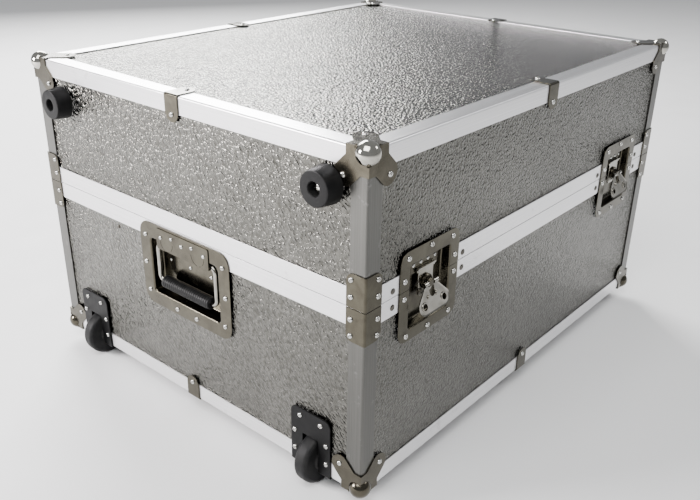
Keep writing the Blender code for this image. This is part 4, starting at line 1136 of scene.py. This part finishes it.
def wing_master():
    """The butterfly flat in the plane z = 0, folding about the X axis."""
    half = 0.0008
    outline = arc((-EAR[0], EAR[1]), EAR_RADIUS, 150, 275, 12)
    outline += arc((EAR[0], EAR[1]), EAR_RADIUS, 265, 390, 12)
    outline += [(BARREL_END, -0.0030), (BARREL_END, 0.0), (-BARREL_END, 0.0), (-BARREL_END, -0.0030)]
    plate = drawn_plate("wing", outline, -half, half)
    edit(plate)
    pick_faces(plate, lambda face: face.normal.z > 0.9)
    bpy.ops.mesh.inset(thickness=0.0017)
    bpy.ops.transform.translate(value=(0.0, 0.0, -0.0007))
    leave_edit()
    ears = [Vector((way * EAR[0], EAR[1], 0.0)) for way in (-1, 1)]
    for ear, way in zip(ears, (-1, 1)):
        weld_on(plate, post("eyelet", ear, -0.0004, 0.0011, 0.0054, 32))
        weld_on(plate, post("stop", (way * 0.0078, -0.0150, 0.0), -0.0004, 0.0016, 0.0028, 28))
    for ear in ears:
        cut(plate, post("hole", ear, -0.01, 0.01, 0.0040, 28))
    cut(plate, drawn_plate("notch", [(-0.0050, 0.01)] + arc((0.0, -0.0110), 0.0050, 180, 360, 10)
                           + [(0.0050, 0.01)], -0.01, 0.01))
    soften(plate, 0.0003, 2)
    for way in (-1, 1):
        weld_on(plate, add_drum("barrel", (way * 0.0051, 0, 0), (way * 0.0127, 0, 0), 0.0031, 28))
    return cut(plate, add_drum("bore", (-0.02, 0, 0), (0.02, 0, 0), 0.0018, 24))


spindle, wing = spindle_master(), wing_master()
for side, x in LATCH_X.items():
    pivot = face_frame((x, FRONT, LATCH_Z), (0, -1, 0), (0, 0, 1))
    settle(copy_to(spindle, f"latch_{side}_spindle", pivot), corner_nickel, f"latch_spindle_{side}",
           "nickel_steel", f"latch_spindle_{side}")
    tilt = Matrix.Translation((0, 0, 0.0022)) @ Matrix.Rotation(-WING_TILT, 4, "X")
    settle(copy_to(wing, f"latch_{side}_butterfly", pivot @ tilt), bright_nickel, f"latch_wing_{side}",
           "nickel_steel", f"latch_wing_{side}")
drop(spindle)
drop(wing)
butterfly = bpy.data.objects["latch_left_butterfly"]
print("butterfly front", round(min(point.co.y for point in butterfly.data.vertices), 4))

# %% [markdown]
# ## Spring handles
# The handle's wire hangs in a dish under a riveted cover that hides its spring.  The dish is pressed
# like the latches' dishes, only larger.  The cover is a plate with rounded corners and a lip turned
# in, and the tabs that hold the spring are marked by a shallow half ring on each side.

# %% Make the handle dish and its cover
AXIS_UP = joint_height("handle_swing_wheel_end") - BOTTOM
HANDLE_DEPTH = 0.0172
COVER_TOP = 0.0027
TAB = (0.0305, 0.2215)
HANDLE_RIVETS = [(sx * a, b) for sx in (-1, 1)
                 for a, b in ((0.0755, 0.2215), (0.0785, 0.1810), (0.0755, 0.1400), (0.0195, 0.1292))]
COVER_RIVETS = [(-0.042, 0.2262), (-0.020, 0.2305), (0.0, 0.2262), (0.020, 0.2305), (0.042, 0.2262)]
FLOOR_RIVETS = [(-0.048, 0.187), (-0.008, 0.187), (0.033, 0.187)]


def cover_master():
    """The plate over the spring, with a lip turned in at its lower edge."""
    thing = add_box("cover", (-0.0508, 0.2092, 0.0008), (0.0508, 0.2378, COVER_TOP))
    edit(thing, "EDGE")
    pick_edges(thing, upright)
    bpy.ops.mesh.bevel(offset=0.003, segments=4)
    leave_edit()
    lip = add_box("lip", (-0.0500, 0.2092, -0.0035), (0.0500, 0.2104, 0.0020))
    weld_on(thing, lip)
    for way in (-1, 1):
        foot = (way * TAB[0], TAB[1])
        ring = post("tab", foot, 0.0020, 0.0040, 0.0125, 48)
        inner = post("tab_inner", foot, 0.0010, 0.0050, 0.0119, 48)
        cut(ring, inner, add_box("top_half", (-0.1, TAB[1], 0.0), (0.1, 0.25, 0.01)))
        cut(thing, ring)
    return soften(thing, 0.0004, 2)


handle_dish = pressed_dish("handle_dish", (0.174, 0.120), 0.018, 0.181,
                           (0.132, 0.078), 0.006, 0.180, HANDLE_DEPTH, 0.0022)
cover = cover_master()
ENDS = (("wheel_end", LEFT, -1), ("far_end", RIGHT, 1))
for end, x, way in ENDS:
    face = face_frame((x, MIDDLE.y, BOTTOM), (way, 0, 0), (0, 0, 1))
    for master, part in ((handle_dish, "dish"), (cover, "cover")):
        settle(copy_to(master, f"handle_{end}_{part}", face), nickel, "base", "nickel_steel",
               f"handle_dish_{end}")
    rivets(f"handle_{end}_dish_rivets", rivet, face, HANDLE_RIVETS, PROUD, rivet_steel, "base")
    rivets(f"handle_{end}_cover_rivets", small_rivet, face, COVER_RIVETS, COVER_TOP, rivet_steel, "base")
    rivets(f"handle_{end}_floor_rivets", small_rivet, face, FLOOR_RIVETS, PROUD - HANDLE_DEPTH,
           rivet_steel, "base")
drop(handle_dish)
drop(cover)
end_face = face_frame((LEFT, FRONT, BOTTOM), (-1, 0, 0), (0, 0, 1))
rivets("panel_screw", small_rivet, end_face, [(-0.4384, 0.2114)], -PANEL_DEPTH, dark_rivet, "base")

# %% [markdown]
# The handle itself is a closed loop of wire through a rubber sleeve.  The wire starts as a circle
# that is extruded down, spun round each bend and extruded again, as the real one is bent.  A curve
# with a round bevel would do too, but the circle gives each bend its exact radius and keeps the
# faces even.  The grip is turned with shallow ribs.

# %% Bend the wire and turn the grip
WIRE = 0.0032
ARM = 0.0565
BEND = 0.0085
WIRE_IN = 0.0035
GRIP_UP = AXIS_UP - 0.053


def wire_master():
    """A closed loop of wire: two arms, the bar under the cover and the bar through the grip."""
    clear_selection()
    bpy.ops.mesh.primitive_circle_add(
        vertices=16, radius=WIRE, location=(-ARM, AXIS_UP - BEND, -WIRE_IN), rotation=(pi / 2, 0, 0))
    thing = take_new("bail")
    edit(thing, "EDGE")
    bpy.ops.mesh.select_all(action="SELECT")
    long_side = AXIS_UP - GRIP_UP - 2 * BEND
    wide_side = 2 * (ARM - BEND)
    corners_in_turn = [
        ((0, -long_side, 0), (-ARM + BEND, GRIP_UP + BEND)),
        ((wide_side, 0, 0), (ARM - BEND, GRIP_UP + BEND)),
        ((0, long_side, 0), (ARM - BEND, AXIS_UP - BEND)),
        ((-wide_side, 0, 0), (-ARM + BEND, AXIS_UP - BEND))]
    for run, centre in corners_in_turn:
        bpy.ops.mesh.extrude_region_move(TRANSFORM_OT_translate={"value": run})
        bpy.ops.mesh.spin(steps=6, angle=pi / 2, center=(*centre, -WIRE_IN), axis=(0, 0, -1))
    bpy.ops.mesh.select_all(action="SELECT")
    bpy.ops.mesh.remove_doubles(threshold=0.00005)
    bpy.ops.mesh.normals_make_consistent(inside=False)
    leave_edit()
    return thing


def grip_master():
    """A rubber sleeve with shallow ribs round it, turned about Z."""
    half, radius, bore = 0.0465, 0.0088, WIRE + 0.0003
    profile = [(bore, -half), (radius - 0.0016, -half), (radius - 0.0004, -half + 0.0012)]
    ribs = 22
    pitch = (2 * half - 0.006) / ribs
    for rib in range(ribs):
        start = -half + 0.003 + rib * pitch
        profile += [(radius, start), (radius, start + pitch * 0.62),
                    (radius - 0.0006, start + pitch * 0.72), (radius - 0.0006, start + pitch * 0.9)]
    profile += [(radius - 0.0004, half - 0.0012), (radius - 0.0016, half), (bore, half), (bore, -half)]
    return turned("grip", profile, 28)


bail, grip = wire_master(), grip_master()
print("wire box", [round(v, 4) for v in bail.dimensions])
for end, x, way in ENDS:
    face = face_frame((x, MIDDLE.y, BOTTOM), (way, 0, 0), (0, 0, 1))
    body = f"handle_{end}"
    settle(copy_to(bail, f"handle_{end}_wire", face), bright_nickel, body, "nickel_steel",
           f"handle_bail_{end}")
    lying = Matrix.Translation((0, GRIP_UP, -WIRE_IN)) @ Matrix.Rotation(pi / 2, 4, "Y")
    settle(copy_to(grip, f"handle_{end}_sleeve", face @ lying), rubber, body, "grip_rubber",
           f"handle_grip_{end}")
drop(bail)
drop(grip)

# %% [markdown]
# ## Rubber feet
# A foot is a moulded rubber disc with a slight taper, a rounded rim and a deep hole that hides its
# screw and washer.  It is round all over, so it is turned like the rivets.  Two stand on the wheel
# end, for when the case is stood up, and two under the far end, level with the wheels.

# %% Make the feet
FOOT_REACH = 0.023
screw_seat = FOOT_REACH - 0.0098
foot_profile = [(0.0, 0.0008), (0.0214, 0.0018), (0.0216, 0.0026), (0.0197, FOOT_REACH - 0.0022),
                (0.0191, FOOT_REACH - 0.0007), (0.0176, FOOT_REACH - 0.0001),
                (0.0086, FOOT_REACH - 0.0001), (0.0078, FOOT_REACH - 0.0009), (0.0074, screw_seat),
                (0.0, screw_seat)]
foot = turned("foot", foot_profile, 56)
screw_profile = [(0.0, screw_seat), (0.0062, screw_seat), (0.0062, screw_seat + 0.0010),
                 (0.0044, screw_seat + 0.0012), (0.0042, screw_seat + 0.0026),
                 (0.0030, screw_seat + 0.0034), (0.0, screw_seat + 0.0036)]
screw = turned("screw", screw_profile, 24)
cross = [add_box("slot", (-0.0024, -0.0005, screw_seat + 0.0026), (0.0024, 0.0005, screw_seat + 0.006)),
         add_box("slot", (-0.0005, -0.0024, screw_seat + 0.0026), (0.0005, 0.0024, screw_seat + 0.006))]
cut(screw, *cross)
for node, outward in (("lid_foot_front", (-1, 0, 0)), ("lid_foot_back", (-1, 0, 0)),
                      ("base_foot_front", (0, 0, -1)), ("base_foot_back", (0, 0, -1))):
    low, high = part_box(node)
    centre = Vector(((low[i] + high[i]) / 2 for i in range(3)))
    if outward[0]:
        centre.x = LEFT
        place = face_frame(centre, outward, (0, 0, 1))
    else:
        centre.z = BOTTOM
        place = face_frame(centre, outward, (0, 1, 0))
    body = node.split("_")[0]
    settle(copy_to(foot, node.replace("_foot_", "_rubber_foot_"), place), rubber, body,
           "foot_rubber", node)
    settle(copy_to(screw, node.replace("_foot_", "_foot_screw_"), place), rivet_steel, body,
           "nickel_steel")
print("foot", [round(side, 4) for side in foot.dimensions])
drop(foot)
drop(screw)

# %% [markdown]
# ## Wheels and their housings
# A housing is a plate folded over the bottom edge with a slot for the wheel and a box behind it.
# It is folded like the brackets, its free corners are rounded while it is a sheet, and the slot is
# cut through both legs at once, so that it runs unbroken round the fold.


# %% Make the housings
HOUSING_WALL = 0.002
HOUSING_REACH = 0.080


def housing(name, low_y, high_y):
    reach, wall = HOUSING_REACH, HOUSING_WALL
    out = GAP + wall
    plate = folded_sheet(name, (LEFT - out, low_y, BOTTOM - out), (LEFT + reach, high_y, BOTTOM + reach),
                         ((-1, 0, 0), (0, 0, -1)), 0.0030)
    edit(plate, "VERT")
    pick_points(plate, lambda point: max(point.co.x - LEFT, point.co.z - BOTTOM) > reach - 0.001)
    bpy.ops.mesh.bevel(offset=0.009, segments=4, affect="VERTICES")
    leave_edit()
    thicken(plate, wall)
    middle, half, deep = (low_y + high_y) / 2, 0.0125, 0.0475
    cut(plate, add_box("slot", (LEFT - 0.02, middle - half, BOTTOM - 0.02),
                       (LEFT + deep - wall, middle + half, BOTTOM + deep - wall)))
    soften(plate, 0.0004, 2)
    box = add_box("well", (LEFT - 0.001, middle - half - wall, BOTTOM - 0.001),
                  (LEFT + deep, middle + half + wall, BOTTOM + deep))
    edit(box)
    pick_faces(box, lambda face: face.normal.x < -0.9 or face.normal.z < -0.9)
    bpy.ops.mesh.delete(type="FACE")
    leave_edit()
    thicken(box, wall)
    return gather(name, [plate, box])


HUB_IN = 0.011
for end, (low, high) in wheel_spans.items():
    name = f"wheel_{end}_housing"
    settle(housing(name, low[1], high[1]), powder, "base", "housing_steel", f"wheel_housing_{end}")
    middle = (low[1] + high[1]) / 2
    axle = add_drum("axle", (LEFT + HUB_IN, middle - 0.0140, BOTTOM + HUB_IN),
                    (LEFT + HUB_IN, middle + 0.0140, BOTTOM + HUB_IN), 0.0040, 24)
    axle.name = f"wheel_{end}_axle"
    settle(soften(axle, 0.0004, 2), zinc, "base", "housing_steel", f"wheel_housing_{end}")
    side_face = face_frame((LEFT, middle, BOTTOM), (-1, 0, 0), (0, 0, 1))
    under_face = face_frame((LEFT, middle, BOTTOM), (0, 0, -1), (1, 0, 0))
    spots = [(-0.0165, 0.0700), (0.0165, 0.0700), (-0.0252, 0.0450), (0.0252, 0.0450),
             (-0.0252, 0.0185), (0.0252, 0.0185)]
    rivets(f"wheel_{end}_side_rivets", rivet, side_face, spots, GAP + HOUSING_WALL, rivet_steel, "base")
    rivets(f"wheel_{end}_under_rivets", rivet, under_face, spots[:4], GAP + HOUSING_WALL, rivet_steel,
           "base")

# %% [markdown]
# A wheel is one solid rubber moulding with a boss round its bore, a dished face and rounded
# shoulders.  Both its sides are alike, so one side's profile is drawn from the bore to the tread and
# mirrored, and the whole is turned in one go.

# %% Turn the wheels
wheel_side = [(0.0043, 0.0108), (0.0070, 0.0110), (0.0128, 0.0110), (0.0138, 0.0100), (0.0150, 0.0088),
              (0.0270, 0.0088), (0.0285, 0.0096), (0.0300, 0.0096), (0.0322, 0.0086), (0.0336, 0.0066),
              (0.0340, 0.0040)]
other_side = [(radius, -height) for radius, height in reversed(wheel_side)]
wheel = turned("wheel", wheel_side + other_side + wheel_side[:1], 72)
for end, (low, high) in wheel_spans.items():
    middle = (low[1] + high[1]) / 2
    hub = Matrix.Translation((LEFT + HUB_IN, middle, BOTTOM + HUB_IN))
    place = hub @ Matrix.Rotation(pi / 2, 4, "X")
    settle(copy_to(wheel, f"wheel_{end}_tyre", place), tyre_rubber, f"wheel_{end}", "tyre_rubber",
           f"wheel_{end}")
print("wheel", [round(side, 4) for side in wheel.dimensions])
drop(wheel)

# %% [markdown]
# ## Hinges and rack frame
# The hinges at the back and the steel rails inside keep their CAD shape, which is already that of
# a rolled knuckle and folded strip; they get their finishes and their rivets.

# %% Finish the hinges and the rails
HINGE_WALL = 0.0014
for name, thing in nodes.items():
    if name.startswith("hinge_"):
        dress(thing, zinc)
    if name == "rack_frame":
        dress(thing, powder)
for end in ("wheel_end", "far_end"):
    for leaf, up in (("base", -0.027), ("lid", 0.027)):
        low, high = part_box(f"hinge_{leaf}_leaf_{end}")
        middle = (low[0] + high[0]) / 2
        face = face_frame((middle, BACK, SEAM), (0, 1, 0), (0, 0, 1))
        spots = [(across, up) for across in (-0.026, 0.0, 0.026)]
        rivets(f"hinge_{end}_{leaf}_rivets", small_rivet, face, spots, GAP + HINGE_WALL, rivet_steel,
               leaf, "zinc_steel")
for master in (rivet, small_rivet, tubular_rivet):
    drop(master)
print("hinge leaves:", sum(name.startswith("hinge_") for name in nodes))

# %% [markdown]
# ## Floor
# A plain pale floor, large enough to fill the view.  It is only the stage, so it rides on no body,
# and it lies a hair below zero, so that the wheels and feet rest on it without sinking in.

# %% Lay the floor
clear_selection()
bpy.ops.mesh.primitive_plane_add(size=30.0, location=(0, 0, -0.0002))
floor = take_new("studio_floor")
paper = Finish("pale_paper", (0.88, 0.88, 0.88), 0.0, 0.6)
paper.roughness(paper.spread(paper.noise(12), 0.3, 0.7, 0.55, 0.7))
floor.data.materials.append(paper.material)
print("floor", [round(side, 1) for side in floor.dimensions])
